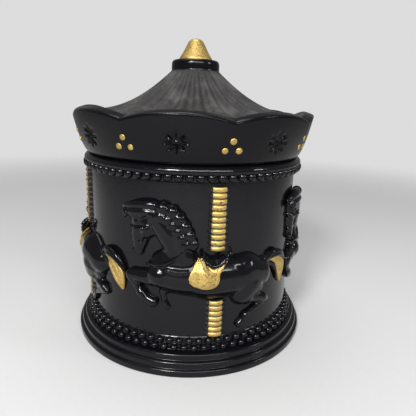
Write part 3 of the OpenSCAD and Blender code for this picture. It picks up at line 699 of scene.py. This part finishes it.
@dataclass
class Fitting:
    """What every finished piece gets: metres, a finish, a body to ride on and the node it stands for."""

    materials: dict[str, bpy.types.Material]

    def finish(self, piece: Piece, finish: str, body: str, node: str, crease: float = 40.0) -> None:
        """Scales a piece to metres, dresses it, sets it on its body and hides the CAD node that it stands for.

        Args:
            piece: The piece, modelled in millimetres.
            finish: The name of its material.
            body: The body that it rides on.
            node: The CAD node that it stands for.
            crease: The angle in degrees that stays a crisp edge.
        """
        reshape(piece, lambda points: points * MM)
        take(piece)
        bpy.ops.object.shade_smooth_by_angle(angle=math.radians(crease))
        self.paint(piece, finish)
        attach(piece, body)
        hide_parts(node)
        LOG.info("%s: %d faces, finish %s, on %s", piece.name, len(piece.data.polygons), finish, body)

    def paint(self, thing: Piece, finish: str) -> None:
        """Gives a piece, or a CAD node that stays in view, a finish."""
        thing.data.materials.clear()
        thing.data.materials.append(self.materials[finish])


# ---------- the jar ----------


@dataclass
class Jar:
    """The cast jar: stepped plinth, wall, mouth and bowl, with the bead rings and the rim band."""

    fit: Fitting
    wall_r: float = 42.0
    mouth_z: float = 74.0
    bowl_r: float = 38.0
    bowl_z: float = 48.0
    recess_r: float = 40.0
    recess_top: float = 18.5
    chamber_top: float = 45.5
    rim_z: float = 68.4
    bead_count: int = 76
    swell_r: float = 43.3
    swell_z: float = 73.4
    swell_d: float = 0.08
    segments: int = 224

    def build(self) -> None:
        """Models the jar's own pieces."""
        self.shell()
        self.rim()
        self.beads("bead_ring_low", 43.6, 8.5, 1.45, 0.0, "plinth_beads_lower")
        self.beads("bead_ring_high", 42.7, 10.7, 1.45, 0.5, "plinth_beads_upper")
        self.beads("rim_bead_ring", 43.1, 70.3, 1.7, 0.25, "rim_beads")

    def shell(self) -> None:
        """The plinth's steps, the wall, the bowl and the chamber below it."""
        plinth = [
            (self.recess_r, 0, 0), (40.6, 0, 0.4), (48.9, 0, 0.4), (48.9, 2.5, 0.8), (47.8, 2.6, 0.3),
            (47.8, 5, 0.7), (46.4, 5.1, 0.3), (46.4, 7.4, 0.7), (43.2, 7.45, 0.4), (43.2, 10, 0.3),
            (42.4, 10, 0.3), (42.4, 11.8, 0.4),
        ]
        wall, bowl, mouth = self.wall_r, self.bowl_r, self.mouth_z
        upper = [
            (wall, 12.2, 0.3), (wall, self.rim_z, 0), (wall, mouth - 0.4, 0.4), (wall - 0.5, mouth, 0.4),
            (bowl + 0.6, mouth, 0.5), (bowl, mouth - 0.5, 0.5), (bowl, self.bowl_z, 1.5), (0, self.bowl_z, 0),
        ]
        jar = lathe("jar_wall", rounded(plinth + upper), self.segments)
        chamber = lathe("jar_hollow", [
            (0, self.chamber_top), (bowl, self.chamber_top), (bowl, self.recess_top),
            (self.recess_r, self.recess_top), (self.recess_r, 0),
        ], self.segments)
        jar = joined("jar_wall", [jar, chamber])
        tidy_skin(jar)
        self.fit.finish(jar, "lacquer", "jar", "jar_body")

    def rim(self) -> None:
        """The band round the mouth: a seat for the beads under a rounded roll."""
        count = self.bead_count
        band = lathe("rim_roll", rounded([
            (41.8, self.rim_z, 0), (42.5, self.rim_z, 0.3), (43, 68.9, 0.3), (43, 70.8, 0.3),
            (44, 71.1, 0.4), (44.28, 71.9, 0.4), (44.24, 72.6, 0.4), (43.85, 73.3, 0.5),
            (43.2, 73.75, 0.5), (42.4, 73.98, 0.3), (41.8, self.mouth_z, 0),
        ]), count * 4, closed=True)

        def wave(points: np.ndarray) -> np.ndarray:
            """Lets the roll swell a little over each bead.

            Args:
                points: The plain band's points.

            Returns:
                The moved points.
            """
            radius = np.hypot(points[:, 0], points[:, 1])
            angle = np.arctan2(points[:, 1], points[:, 0])
            low = np.clip((self.swell_z - points[:, 2]) / 2, 0, 1) * (radius > self.swell_r)
            swell = 1 - low * self.swell_d * (1 - np.sin(count * angle)) / radius
            return points * np.stack([swell, swell, np.ones_like(swell)], 1)

        reshape(band, wave)
        self.fit.finish(band, "lacquer", "jar", "rim_band")

    def beads(self, name: str, ring_r: float, z: float, radius: float, turn: float, node: str) -> None:
        """One ring of cast beads, each a little uneven.

        Args:
            name: The ring's name.
            ring_r: Distance of the beads' centres from the axis.
            z: Their height.
            radius: A bead's radius.
            turn: Turn of the ring in bead pitches.
            node: The CAD node that the ring stands for.
        """
        places = []
        for i in range(self.bead_count):
            wobble = math.sin(i * 12.9898) * 0.5 + math.sin(i * 4.1414 + 1.3) * 0.5
            size = radius * (1 + 0.025 * wobble)
            turned = Matrix.Rotation((i + turn) * 2 * math.pi / self.bead_count, 4, "Z")
            spot = Matrix.Translation((ring_r - 0.05 * wobble, 0, z + 0.06 * math.sin(i * 2.7)))
            places.append(turned @ spot @ Matrix.Diagonal((size, size, size, 1)))
        self.fit.finish(copies(ball(10, 7), name, places), "lacquer", "jar", node, 180)


@dataclass
class Carousel:
    """The four horses in relief with their saddles, tails and poles."""

    fit: Fitting
    wall_r: float = 42.0
    count: int = 4
    stretch: Point3 = (0.9673, 0.9587, 0.9587)
    rib_h: float = 2.049
    pole_at: Point2 = (0.45, 2.0)
    lengths: tuple[tuple[float, int], ...] = ((12.42, 7), (44.96, 11))

    def build(self) -> None:
        """Models one horse, its saddle, tail and pole flat, then sets four of each round the wall."""
        self.spread(self.horse(), "horse", "lacquer", 180)
        self.spread(self.saddle(), "saddle", "saddle_gold", 60)
        self.spread(self.tail(), "tail", "tail_gold", 180)
        self.spread(self.pole(), "pole", "pole_gold", 180)

    def spread(self, piece: Piece, name: str, finish: str, crease: float) -> None:
        """Sets four copies of a bent piece round the jar.

        Args:
            piece: The piece in front of pole 1; it is used up.
            name: The copies' name without their number.
            finish: Their material.
            crease: The angle in degrees that stays a crisp edge.
        """
        for i in range(self.count):
            twin = twin_of(piece, Matrix.Rotation(i * 2 * math.pi / self.count, 4, "Z"))
            twin.name = f"cast_{name}_{i + 1}"
            self.fit.finish(twin, finish, "jar", f"{name}_{i + 1}", crease)
        bpy.data.objects.remove(piece)

    def bend(self, piece: Piece) -> None:
        """Fits a flat relief to the height of the wall, bends it round the wall and cleans it.

        Args:
            piece: The relief.
        """

        def wrap(points: np.ndarray) -> np.ndarray:
            """Bends the points round the wall.

            Args:
                points: Rows of [along the wall, -off the wall, height].

            Returns:
                The bent points.
            """
            points = points * np.array(self.stretch)
            angle = points[:, 0] / self.wall_r
            reach = self.wall_r - points[:, 1]
            return np.stack([reach * np.sin(angle), -reach * np.cos(angle), points[:, 2]], 1)

        reshape(piece, wrap)
        tidy_skin(piece)

    def body_parts(self, grow: float = 0.0) -> list[Piece]:
        """The big forms of the horse's trunk, haunch and neck.

        Args:
            grow: How much thicker they are made, for what lies on them.

        Returns:
            The limbs, flat.
        """
        forms = [
            (-14.6, 37.6, -3.4, 8.5, -3, 36.5, -4.9, 10.2), (-3, 36.5, -4.9, 10.2, 11, 36.8, -3.6, 9.5),
            (11.5, 37.6, -2.5, 8.5, 17.8, 35.8, -1.8, 6.5), (-18.6, 42, -1.8, 5.4, -11.5, 44.2, -2, 5.8),
            (-12, 44.5, -2, 5.8, -15.8, 52.4, -1.5, 5.7), (-15.8, 52.4, -1.5, 5.7, -20.5, 58.4, -0.8, 4.7),
        ]
        return [muscle([*row[:3], row[3] + grow], [*row[4:7], row[7] + grow]) for row in forms]

    def limb_parts(self) -> list[Piece]:
        """The head, the legs and the muscles that stand out on the trunk.

        Returns:
            The limbs, flat.
        """
        forms = [
            # head: forehead, face, cheek, muzzle, lips
            (-27.4, 58.6, -0.4, 3.5, -28.3, 52, -0.2, 2.7), (-28.3, 52, -0.2, 2.7, -28, 46.6, 0.1, 2.3),
            (-24.6, 56.6, -0.1, 3.4, -24.6, 53.4, -0.1, 3.2), (-25.4, 52.6, -0.4, 2.6, -27.2, 47.4, -0.2, 2.2),
            (-29.3, 45.9, 0.9, 1.3, -27.2, 44.9, 0.6, 1.2), (-21.6, 60.6, -0.6, 3.6, -27, 59.8, -0.6, 3.3),
            # shoulder, breast and near foreleg
            (-19.6, 37.2, 0.2, 4.9, -18.2, 36.4, 0, 4.6), (-20.5, 35.9, 0.1, 3.7, -30.2, 36, 0.9, 2.4),
            (-30.8, 36, 1.1, 2.3, -30.4, 34.4, 1, 2.1), (-30.3, 34.2, 0.9, 1.8, -27.2, 29.6, 0.8, 1.55),
            (-27, 29.4, 1, 1.9, -25.8, 28, 1, 1.85), (-24.8, 27.3, 0.9, 1.8, -22.6, 26.3, 0.7, 2.3),
            # far foreleg
            (-14.4, 34.6, -0.2, 3, -18.9, 30.6, 0, 1.6), (-18.9, 30.6, 0, 1.5, -18.2, 27, 0, 1.1),
            (-18.2, 26.8, 0.1, 1.3, -17.2, 24.9, 0.1, 1.5),
            # flank, haunch, thigh and stifle
            (2.8, 37.4, 1.1, 3.2, 5.6, 35, 0.6, 2.8), (8.2, 40.4, 0.6, 4.2, 14, 38.6, 0.4, 4.2),
            (12.6, 33.4, -0.4, 6.4, 10.4, 29.4, -0.2, 4.9), (9.4, 28, 0.2, 3.4, 12.8, 26.9, 0.2, 2.9),
            # near hind leg: gaskin, hock, cannon, fetlock
            (12.4, 27.2, 0, 2.6, 20.4, 25.2, 0.6, 1.9), (20.8, 25.3, 0.9, 1.8, 22.8, 23.7, 0.7, 1.3),
            (21.6, 23.6, 0.6, 1.35, 13.6, 20.2, 0.7, 1.2), (12.9, 19.8, 0.8, 1.5, 12, 18.7, 0.8, 1.4),
            (11.4, 17.8, 0.7, 1.35, 10.2, 16.4, 0.5, 1.75),
            # far hind leg
            (17.6, 30.4, -0.6, 3.4, 15.8, 26.8, -0.4, 2.2),
            # root of the tail
            (20.4, 40.6, -0.2, 2, 23, 41.6, 0.6, 1.6),
        ]
        return [muscle(row[:4], row[4:]) for row in forms]

    def hair(self) -> list[Piece]:
        """Forelock, mane, the dark upper locks of the tail and the fringe of the seat cloth.

        Returns:
            The locks, flat.
        """
        locks: list[Sequence[Sequence[float]]] = [
            # forelock: a thick roll with two strands on it and curls under its edge
            ((-34.4, 61.4, 0.6, 0.7), (-32, 62.1, 1.5, 1.3), (-27, 63.1, 2, 1.8), (-22, 63.4, 2, 1.7),
             (-18.6, 62.8, 1.4, 1.1)),
            ((-33.8, 59.6, 0.8, 0.7), (-31.4, 60, 1.9, 1.4), (-27.4, 60.5, 2.6, 1.7), (-23.4, 60.9, 2.6, 1.6),
             (-20.4, 60.6, 2.1, 0.9)),
        ]
        for s, z in ((-31.9, 59.6), (-28.9, 59.7), (-25.8, 59.9), (-22.8, 60.0)):
            locks.append((
                (s - 0.9, z + 1.2, 2.6, 0.6), (s + 0.5, z + 0.3, 3.2, 0.95),
                (s + 0.3, z - 0.9, 2.9, 0.75), (s - 0.4, z - 1.7, 2.3, 0.35),
            ))
        # mane: two rows of lobes along the crest, as (outwards, down the crest, off the wall, radius)
        crest = ((-18.6, 63.2), (-15.2, 62), (-12.7, 59.6), (-10.6, 56.6), (-9, 53.4), (-7.9, 50.1))
        rows = (
            ((-2.4, -1.4, 0.6, 1.2), (-0.8, -0.6, 1.9, 2.3), (-0.2, 0.9, 1.8, 2.2), (-0.9, 2.7, 0.9, 1)),
            ((-5.2, -1.6, 1.9, 0.7), (-3.9, -0.4, 2.7, 1.6), (-3.1, 1.2, 2.6, 1.6), (-3.4, 2.9, 1.9, 0.8)),
        )
        for i, spot in enumerate(crest):
            turn = math.radians(72 - 15 * i)
            out = Vector((math.cos(turn), math.sin(turn)))
            along = Vector((out.y, -out.x))
            for row in rows:
                points = [(Vector(spot) + out * reach + along * drop, *rest) for reach, drop, *rest in row]
                locks.append([(point.x, point.y, *rest) for point, *rest in points])
        # dark locks over and inside the gilded tail
        locks += [
            ((20.8, 41.2, 0.4, 1), (24.4, 43.2, 1.3, 1.25), (29, 42.4, 1.6, 1.2), (32.6, 39.4, 1.3, 0.9),
             (34.4, 36.2, 0.6, 0.4)),
            ((21.6, 40.6, 0.8, 0.8), (25.2, 42, 1.9, 1), (29.4, 41, 2.1, 0.9), (32.8, 38.2, 1.8, 0.7),
             (34.6, 34.6, 0.9, 0.35)),
            ((21.8, 39.4, 0.4, 0.9), (24.6, 38.6, 0.8, 1.2), (27.4, 35.6, 0.9, 1.2), (29.4, 32.2, 0.7, 0.8),
             (29.8, 29.6, 0.3, 0.4)),
        ]
        # fringe of the seat cloth, along the hollow of the saddle
        for i in range(9):
            t = i / 8
            s = -4.9 + 8.8 * t
            z = 45.0 + 1.8 * t - 3.6 * math.sin(math.pi * t) ** 0.8
            locks += [
                ((s - 0.3, z + 1.4, 2.9, 0.5), (s + 0.25, z + 0.6, 4.2, 0.9), (s - 0.1, z - 0.3, 4.5, 0.75)),
                ((s + 0.4, z + 2, 1.8, 0.5), (s - 0.2, z + 1.5, 2.9, 0.85), (s + 0.3, z + 0.9, 3.4, 0.65)),
            ]
        return [strand(lock) for lock in locks]

    def tack(self) -> list[Piece]:
        """Bridle, breast straps, eye, brow, nostril and the bridle's studs.

        Returns:
            The straps and knobs, flat.
        """
        bands = [
            ((-31.4, 54.7, 0.6, 0.4), (-28.6, 54.4, 2.9, 0.45), (-25.2, 54.8, 3.5, 0.45),
             (-22.4, 56, 2.6, 0.4)),
            ((-30.9, 49.2, 0.8, 0.35), (-28.3, 48.8, 2.6, 0.4), (-25.6, 49.6, 1.9, 0.35)),
            ((-24.4, 54.9, 3.4, 0.4), (-24.9, 51.8, 2.9, 0.35), (-26.2, 49.4, 2.2, 0.3)),
            ((-25, 41.2, 1, 0.5), (-21.4, 41.9, 3.1, 0.6), (-17.4, 42.6, 3.9, 0.6), (-13.6, 44.9, 3.7, 0.5),
             (-11.4, 47.4, 3.2, 0.45)),
            ((-9.6, 40.6, 4.2, 0.45), (-13.2, 39.9, 4.6, 0.5), (-16.8, 41.2, 4.3, 0.45)),
        ]
        knobs = [
            (-28, 56.9, 2.6, 0.75, -27.6, 56.9, 2.6, 0.75), (-29.4, 57.9, 2.2, 0.5, -26.6, 58.1, 2.4, 0.55),
            (-29.2, 46.2, 1.9, 0.5, -28.8, 45.5, 1.9, 0.45),
        ]
        for s, z, depth in ((-27.6, 54.4, 3.2), (-29.8, 54.5, 2.2), (-25.6, 54.8, 3.7), (-23.6, 55.4, 3.3)):
            knobs.append((s, z, depth, 0.62, s + 0.1, z, depth, 0.62))
        return [strand(band) for band in bands] + [muscle(row[:4], row[4:]) for row in knobs]

    def horse(self) -> Piece:
        """Models the horse flat and bends it round the wall.

        Returns:
            The first horse.
        """
        body = melt("horse", self.body_parts(), 0.5, 0.6, 10)
        body = melt("horse", [body, *self.limb_parts()], 0.4, 0.5, 4)
        body = melt("horse", [body, *self.hair(), *self.tack()], 0.32, 0.5, 5)
        cut_back(body)
        self.bend(body)
        return body

    def saddle(self) -> Piece:
        """Thickens the swell of the trunk and trims it to the saddle's outline.

        Returns:
            The first saddle.
        """
        swell = melt("saddle", self.body_parts(0.85), 0.4, 0.6, 10)
        outline = [
            (-5.2, 47), (-6.4, 44.9), (-7.8, 42.6), (-9, 40.2), (-9.5, 38.4), (-9, 36.6), (-7.4, 35.1),
            (-5.2, 34.4), (-3, 34.4), (-1.2, 35.1), (-0.1, 36.5), (0.3, 38.2), (0.3, 39.8), (1.2, 41.3),
            (3.2, 43.6), (5.3, 46.1), (4.6, 46.8), (2.6, 44.8), (0.6, 42.8), (-1, 41.6), (-2.2, 41.8),
            (-3.3, 43.2), (-3.9, 45.2), (-4.4, 46.9),
        ]
        bpy.ops.mesh.primitive_circle_add(vertices=len(outline), radius=1.0, fill_type="NGON")
        cutter = named("saddle_outline")
        reshape(cutter, lambda points: np.array([[s, -9.0, z] for s, z in outline]))
        with editing(cutter):
            bpy.ops.mesh.extrude_region_move(TRANSFORM_OT_translate={"value": (0, 7.4, 0)})
            bpy.ops.mesh.select_all(action="SELECT")
            bpy.ops.mesh.normals_make_consistent(inside=False)
        use_modifier(swell, "BOOLEAN", operation="INTERSECT", object=cutter, solver="EXACT")
        bpy.data.objects.remove(cutter)
        fold = ((-5.4, 45.8, 4, 0.55), (-5, 43.6, 4.6, 0.7), (-3.9, 41.4, 4.9, 0.65), (-2.4, 39.6, 4.9, 0.4))
        pad = melt("saddle", [swell, strand(fold)], 0.22, 0.5, 3)
        self.bend(pad)
        return pad

    def tail(self) -> Piece:
        """Lays the gilded locks of the tail between its outer and its inner edge.

        Returns:
            The first tail.
        """
        outer = ((21.9, 40.6), (26, 41.5), (30.6, 39.7), (33.2, 36.7), (33.8, 32.8), (32.8, 28.2))
        inner = ((22, 39.4), (25, 38), (27.4, 35.2), (29.2, 32.2), (30.6, 29.8), (32.4, 27.8))
        depths = (0.5, 1.1, 1.35, 1.25, 0.9, 0.4)
        strands = 4
        locks = []
        for k in range(strands):
            path = []
            for a, b, depth in zip(outer, inner, depths):
                s, z = Vector(a).lerp(Vector(b), (k + 0.5) / strands)
                radius = max(0.4, math.dist(a, b) / strands * 0.66)
                path.append((s, z, depth + 0.25 * math.sin(k * 2.1), radius))
            locks.append(strand(path))
        tail = melt("tail", locks, 0.2, 0.5, 2)
        cut_back(tail, 0.1)
        self.bend(tail)
        return tail

    def pole(self) -> Piece:
        """Turns the two lengths of ribbed pole and cuts them off in the wall.

        Returns:
            The first pole.
        """
        rib = ((3.3, 0.02, 0), (3.72, 0.16, 0), (4.02, 0.5, 1), (4.1, 1, 1), (4.02, 1.5, 1), (3.72, 1.86, 0))
        lengths = []
        for z, ribs in self.lengths:
            profile: list[Point2] = [(0.0, z)]
            for i in range(ribs):
                foot, bulge = z + i * self.rib_h, 0.06 * math.sin(i * 2.3 + z)
                profile += [(r + bulge * share, foot + up) for r, up, share in rib]
            top = z + ribs * self.rib_h
            lengths.append(lathe("pole", [*profile, (3.3, top - 0.02), (0.0, top)], 64))
        pole = joined("pole", lengths)
        along, deep = self.pole_at
        reshape(pole, lambda points: points + np.array([along, deep - self.wall_r, 0]))
        cut_back(pole, -41.2)
        return pole


@dataclass
class Lid:
    """The lid: plug ring, scalloped valance with star prints, fluted roof, collar, finial and dots."""

    fit: Fitting
    foot_z: float = 74.1
    lip_z: float = 90.2
    crest_z: float = 91.7
    flare: float = 5.6
    valance_curve: float = 0.57
    scallops: int = 8
    scallop_d: float = 2.5
    turn: float = 4.0
    flutes: int = 28
    flute_d: float = 0.91
    star_z: float = 81.6
    star_d: float = 0.8
    star_r: Point2 = (1.1, 4.0)
    skirt_r: float = 46.0
    dot_z: Point2 = (79.29, 82.37)
    roof_foot: Point2 = (41.5, 89.4)
    roof_top: Point2 = (9.5, 105.9)
    curve: float = 2.08
    top_z: float = 110.1
    segments: int = 448

    def build(self) -> None:
        """Models the lid's pieces."""
        self.shell()
        self.finial()
        self.dots()

    def valance(self, t: float) -> Point2:
        """The valance's skin at a share t of its height, before the scallops."""
        return 42.2 + self.flare * t ** self.valance_curve, self.foot_z + (self.lip_z - self.foot_z) * t

    def roof(self, t: float) -> Point2:
        """The roof's skin at a share t of the way from its foot to the collar."""
        (r0, z0), (r1, z1) = self.roof_foot, self.roof_top
        return r0 + (r1 - r0) * t, z0 + (z1 - z0) * t ** self.curve

    def shell(self) -> None:
        """The lid's whole skin, turned plain and then scalloped, fluted and printed."""
        foot, lip, crest, top = self.foot_z, self.lip_z, self.crest_z, self.top_z
        plug = ((35.5, -4), (37.1, -4), (37.5, -3.6), (37.5, 0), (41.9, 0))
        outer_lip = (
            (47.74, 0.22), (47.55, 0.45), (47.2, 0.66), (46.7, 0.86), (46, 1.08), (45.3, 1.3), (44.8, 1.46),
        )
        inner_lip = (
            (44.4, 0.02, 1), (44.1, 0.08, 1), (43.8, 0.28, 1), (43.5, 0.6, 0.95), (43.1, 1, 0.85),
            (42.7, 1.4, 0.65), (42.2, 1.8, 0.4), (41.8, 2.1, 0.15),
        )
        collar = ((9.52, 3.6), (9.5, 2), (9.42, 1.2), (9.1, 0.55), (8.5, 0.18), (7.6, 0.02), (0, 0))
        rows: list[tuple[float, float, float, float]] = [(r, foot + up, 0, 0) for r, up in plug]
        rows += [(*self.valance(t), t, 0) for t in ((i / 36) ** 1.35 for i in range(37))]
        rows += [(r, lip + up, 1, 0) for r, up in outer_lip]
        rows += [(r, crest - down, share, 0) for r, down, share in inner_lip]
        rows += [(*self.roof(t), 0, min(1.0, 8 * t) * (1 - t ** 5)) for t in (i / 40 for i in range(41))]
        rows += [(r, top - down, 0, 0) for r, down in collar]
        under = [
            (0, 99.6), (8.5, 99.6), (16.5, 95.6), (24.5, 90.1), (32.5, 87.4), (40.5, 86.3), (42.8, 85.8),
            (39.8, foot + 2.4), (35.5, foot + 1.8), (35.5, foot - 4),
        ]
        lid = lathe("lid_shell", [row[:2] for row in rows], self.segments)
        reshape(lid, lambda points: self.carved(points, np.array(rows)))
        hollow = lathe("lid_hollow", under, self.segments // 4)
        with editing(hollow):
            bpy.ops.mesh.flip_normals()
        lid = joined("lid_shell", [lid, hollow])
        lid.data.transform(Matrix.Rotation(math.radians(self.turn - 90), 4, "Z"))
        self.fit.finish(lid, "lid", "lid", "lid", 50)

    def carved(self, points: np.ndarray, shares: np.ndarray) -> np.ndarray:
        """Drops the scallops, waves the flutes and presses the star prints.

        Args:
            points: The plain lid's points.
            shares: Each profile row's radius, height, share of the scallops and share of the flutes.

        Returns:
            The moved points.
        """
        radius = np.hypot(points[:, 0], points[:, 1])
        angle = np.arctan2(points[:, 1], points[:, 0])
        away = (shares[None, :, 0] - radius[:, None]) ** 2 + (shares[None, :, 1] - points[:, 2:3]) ** 2
        row = np.argmin(away, 1)
        scallop, flute = shares[row, 2], shares[row, 3]
        u = np.abs(np.mod(angle * self.scallops / (2 * math.pi), 1) - 0.5) * 2
        z = points[:, 2] - scallop * self.scallop_d * u ** 2.2
        wave = np.cos(angle * self.flutes)
        z = z + flute * self.flute_d * np.sign(wave) * np.abs(wave) ** 0.7
        depth = self.star(angle, z) * (scallop > 0.02) * (scallop < 0.98)
        scale = 1 - depth / np.maximum(radius, 1)
        return np.stack([points[:, 0] * scale, points[:, 1] * scale, z], 1)

    def star(self, angle: np.ndarray, z: np.ndarray) -> np.ndarray:
        """Presses an eight-petal print under each crest.

        Args:
            angle: Turn of each point round the lid.
            z: Its height.

        Returns:
            The depth of the print at each point, in millimetres.
        """
        pitch = 2 * math.pi / self.scallops
        off = (np.mod(angle, pitch) - pitch / 2) * self.skirt_r
        rise = (z - self.star_z) * 1.2
        reach = np.hypot(off, rise)
        petal = np.abs(np.cos(4 * np.arctan2(rise, off))) ** 1.1
        edge = self.star_r[0] + self.star_r[1] * petal
        inside = np.clip((edge - reach) / 1.5, 0, 1)
        core = np.clip((reach - 0.3) / 0.9, 0, 1)
        return self.star_d * inside ** 2 * (3 - 2 * inside) * core

    def finial(self) -> None:
        """The gilded point on the collar."""
        top = self.top_z
        cone = (
            (0, -0.1, 0), (6.7, 0, 0.3), (6.45, 0.7, 0.5), (5.3, 2.4, 0.6), (4.2, 4.4, 0.6), (3.3, 6.2, 0.6),
            (2.7, 7.1, 0.7), (1.8, 7.8, 0.7), (0.7, 8.08, 0.4), (0, 8.1, 0),
        )
        point = lathe("finial_cone", rounded([(r, top + up, fillet) for r, up, fillet in cone]), 96)
        self.fit.finish(point, "finial_gold", "lid", "finial", 60)

    def dots(self) -> None:
        """Three dabs of gold under each valley of the scallops."""
        lean = Matrix.Rotation(math.atan2(2.4, 8.0), 4, "X")
        low, high = self.dot_z
        places = []
        for i in range(self.scallops):
            for along, z in ((-2.2, low), (2.2, low), (0.0, high)):
                t = (z - self.foot_z) / (self.lip_z - self.foot_z - self.scallop_d)
                radius, _ = self.valance(t)
                angle = math.radians(self.turn + i * 360 / self.scallops) + along / 42
                size = 1.12 + 0.08 * math.sin(i * 5.1 + z * 3 + along)
                spot = Matrix.Rotation(angle, 4, "Z") @ Matrix.Translation((0, -radius + 0.05, z))
                places.append(spot @ lean @ Matrix.Diagonal((size, 0.36, size * 0.95, 1)))
        self.fit.finish(copies(ball(16, 8), "dabs", places), "dot_gold", "lid", "lid_dots", 180)


@dataclass
class Works:
    """The base plate, the screws and the movement, whose solids stay and get their finishes."""

    fit: Fitting

    def build(self) -> None:
        """Dresses every CAD node that stays."""
        finishes = {
            "board": "base_plate",
            "steel": "base_screws movement_screws spring_housing winding_arbor winding_key cylinder_drum "
            "cylinder_pins cylinder_arbor governor_arbor comb",
            "zinc": "bedplate",
            "spring": "mainspring",
            "brass": "bearing_left bearing_right comb_screws governor_frame drive_gear cylinder_pinion "
            "cylinder_wheel worm_wheel governor_worm governor_fan",
        }
        for finish, nodes in finishes.items():
            for node in nodes.split():
                self.fit.paint(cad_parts[node], finish)
            LOG.info("%s on %s", finish, nodes)


# ---------- the studio ----------


@dataclass
class Studio:
    """Pale floor, soft lamps, plain world and the camera."""

    eye: Point3 = (-34.366, -168.235, 93.898)
    heading: float = 0.2412
    pitch: float = 0.2542
    roll: float = 0.0324
    focal_px: float = 405.157
    frame_px: int = 416
    sensor: float = 36.0
    ambient: float = 0.2
    backdrop: float = 0.72

    def build(self) -> None:
        """Sets up the scene round the box."""
        self.camera()
        self.floor()
        self.world()
        self.lamp("key_lamp", (-280, -430, 430), 60, (110, 110), 3.0)
        self.lamp("front_lamp", (-90, -560, 430), 60, (820, 120), 5.0)
        self.lamp("fill_lamp", (520, -300, 360), 50, (110, 110), 0.7)
        self.lamp("top_lamp", (-40, 120, 700), 60, (420, 420), 1.8)
        bpy.context.scene.view_settings.view_transform = "Standard"

    def camera(self) -> None:
        """The camera at its own angle."""
        level = math.cos(self.pitch)
        heading = self.heading
        forward = Vector((level * math.sin(heading), level * math.cos(heading), -math.sin(self.pitch)))
        right = forward.cross(Vector((0, 0, 1))).normalized()
        up = right.cross(forward)
        across = right * math.cos(self.roll) + up * math.sin(self.roll)
        turn = Matrix((across, across.cross(forward), -forward)).transposed().to_4x4()
        bpy.ops.object.camera_add()
        camera = bpy.context.object
        camera.name = "camera"
        camera.matrix_world = Matrix.Translation(Vector(self.eye) * MM) @ turn
        camera.data.sensor_width = camera.data.sensor_height = self.sensor
        camera.data.sensor_fit = "HORIZONTAL"
        camera.data.lens = self.focal_px / self.frame_px * self.sensor
        camera.data.clip_start = 0.005
        bpy.context.scene.camera = camera

    def floor(self) -> None:
        """A pale sheet that fades into the pale ground round it."""
        bpy.ops.mesh.primitive_circle_add(vertices=96, radius=1.2, fill_type="NGON")
        floor = named("floor")
        g = Graph("floor_paper")
        place = g.position()
        grain = g.noise(place, 2)
        x, y, _ = g.parts(place)
        g.set(
            Base_Color=g.mix(grain, (0.5, 0.5, 0.5), (0.53, 0.53, 0.53)),
            Roughness=0.9,
            Alpha=((x * x + y * y) ** 0.5).step(620.0, 220.0),
        )
        floor.data.materials.append(g.material)

    def world(self) -> None:
        """Soft light from all round."""
        world = bpy.data.worlds.new("studio")
        bpy.context.scene.world = world
        world.use_nodes = True
        tree = world.node_tree
        shade = tree.nodes["Background"]
        path = tree.nodes.new("ShaderNodeLightPath")
        level = tree.nodes.new("ShaderNodeMapRange")
        level.inputs["To Min"].default_value = self.ambient
        level.inputs["To Max"].default_value = self.backdrop
        shade.inputs["Color"].default_value = (1.0, 1.0, 1.0, 1.0)
        tree.links.new(path.outputs["Is Camera Ray"], level.inputs["Value"])
        tree.links.new(level.outputs[0], shade.inputs["Strength"])

    def lamp(self, name: str, place: Point3, aim_z: float, size: Point2, power: float) -> None:
        """A flat soft lamp that faces the box.

        Args:
            name: The lamp's name.
            place: Where it stands, in millimetres.
            aim_z: Height of the point on the axis that it faces.
            size: Its width and height in millimetres.
            power: Its power in watts.
        """
        bpy.ops.object.light_add(type="AREA")
        lamp = bpy.context.object
        lamp.name = name
        lamp.data.shape = "RECTANGLE"
        lamp.data.size = size[0] * MM
        lamp.data.size_y = size[1] * MM
        lamp.data.energy = power
        turn = (Vector((0, 0, aim_z)) - Vector(place)).to_track_quat("-Z", "Y").to_matrix().to_4x4()
        lamp.matrix_world = Matrix.Translation(Vector(place) * MM) @ turn


def main() -> None:
    """Builds the studio and every piece of the box, in order."""
    logging.basicConfig(level=logging.INFO, format="%(name)s: %(message)s")
    finishes = [
        Lacquer("lacquer"),
        SatinRoof("lid", collar_z=106.2, foot_z=89.4, foot_r=41.5),
        GoldPaint("saddle_gold", 0.4, grain_mm=0.42, spot_mm=0.5),
        GoldPaint("tail_gold", 0.32, grain_mm=0.35, streak=(1.0, 1.0, 2.0)),
        GoldPaint("pole_gold", 0.36, streak=(1.0, 1.0, 3.0), pole_half_width=2.3),
        GoldPaint("finial_gold", 0.36, grain_mm=0.35, streak=(1.0, 1.0, 0.5)),
        GoldPaint("dot_gold", 0.3),
        Board("board"),
        Metal("steel", (0.62, 0.62, 0.63), Polish.PLATED),
        Metal("zinc", (0.5, 0.51, 0.53), Polish.CAST),
        Metal("spring", (0.2, 0.24, 0.3), Polish.GROUND),
        Metal("brass", (0.78, 0.56, 0.22), Polish.GROUND),
    ]
    fit = Fitting({finish.name: finish.material() for finish in finishes})
    studio = Studio()
    for part in (studio, Jar(fit), Carousel(fit), Lid(fit), Works(fit)):
        part.build()
        LOG.info("%s done", type(part).__name__)


if __name__ == "__main__":
    main()
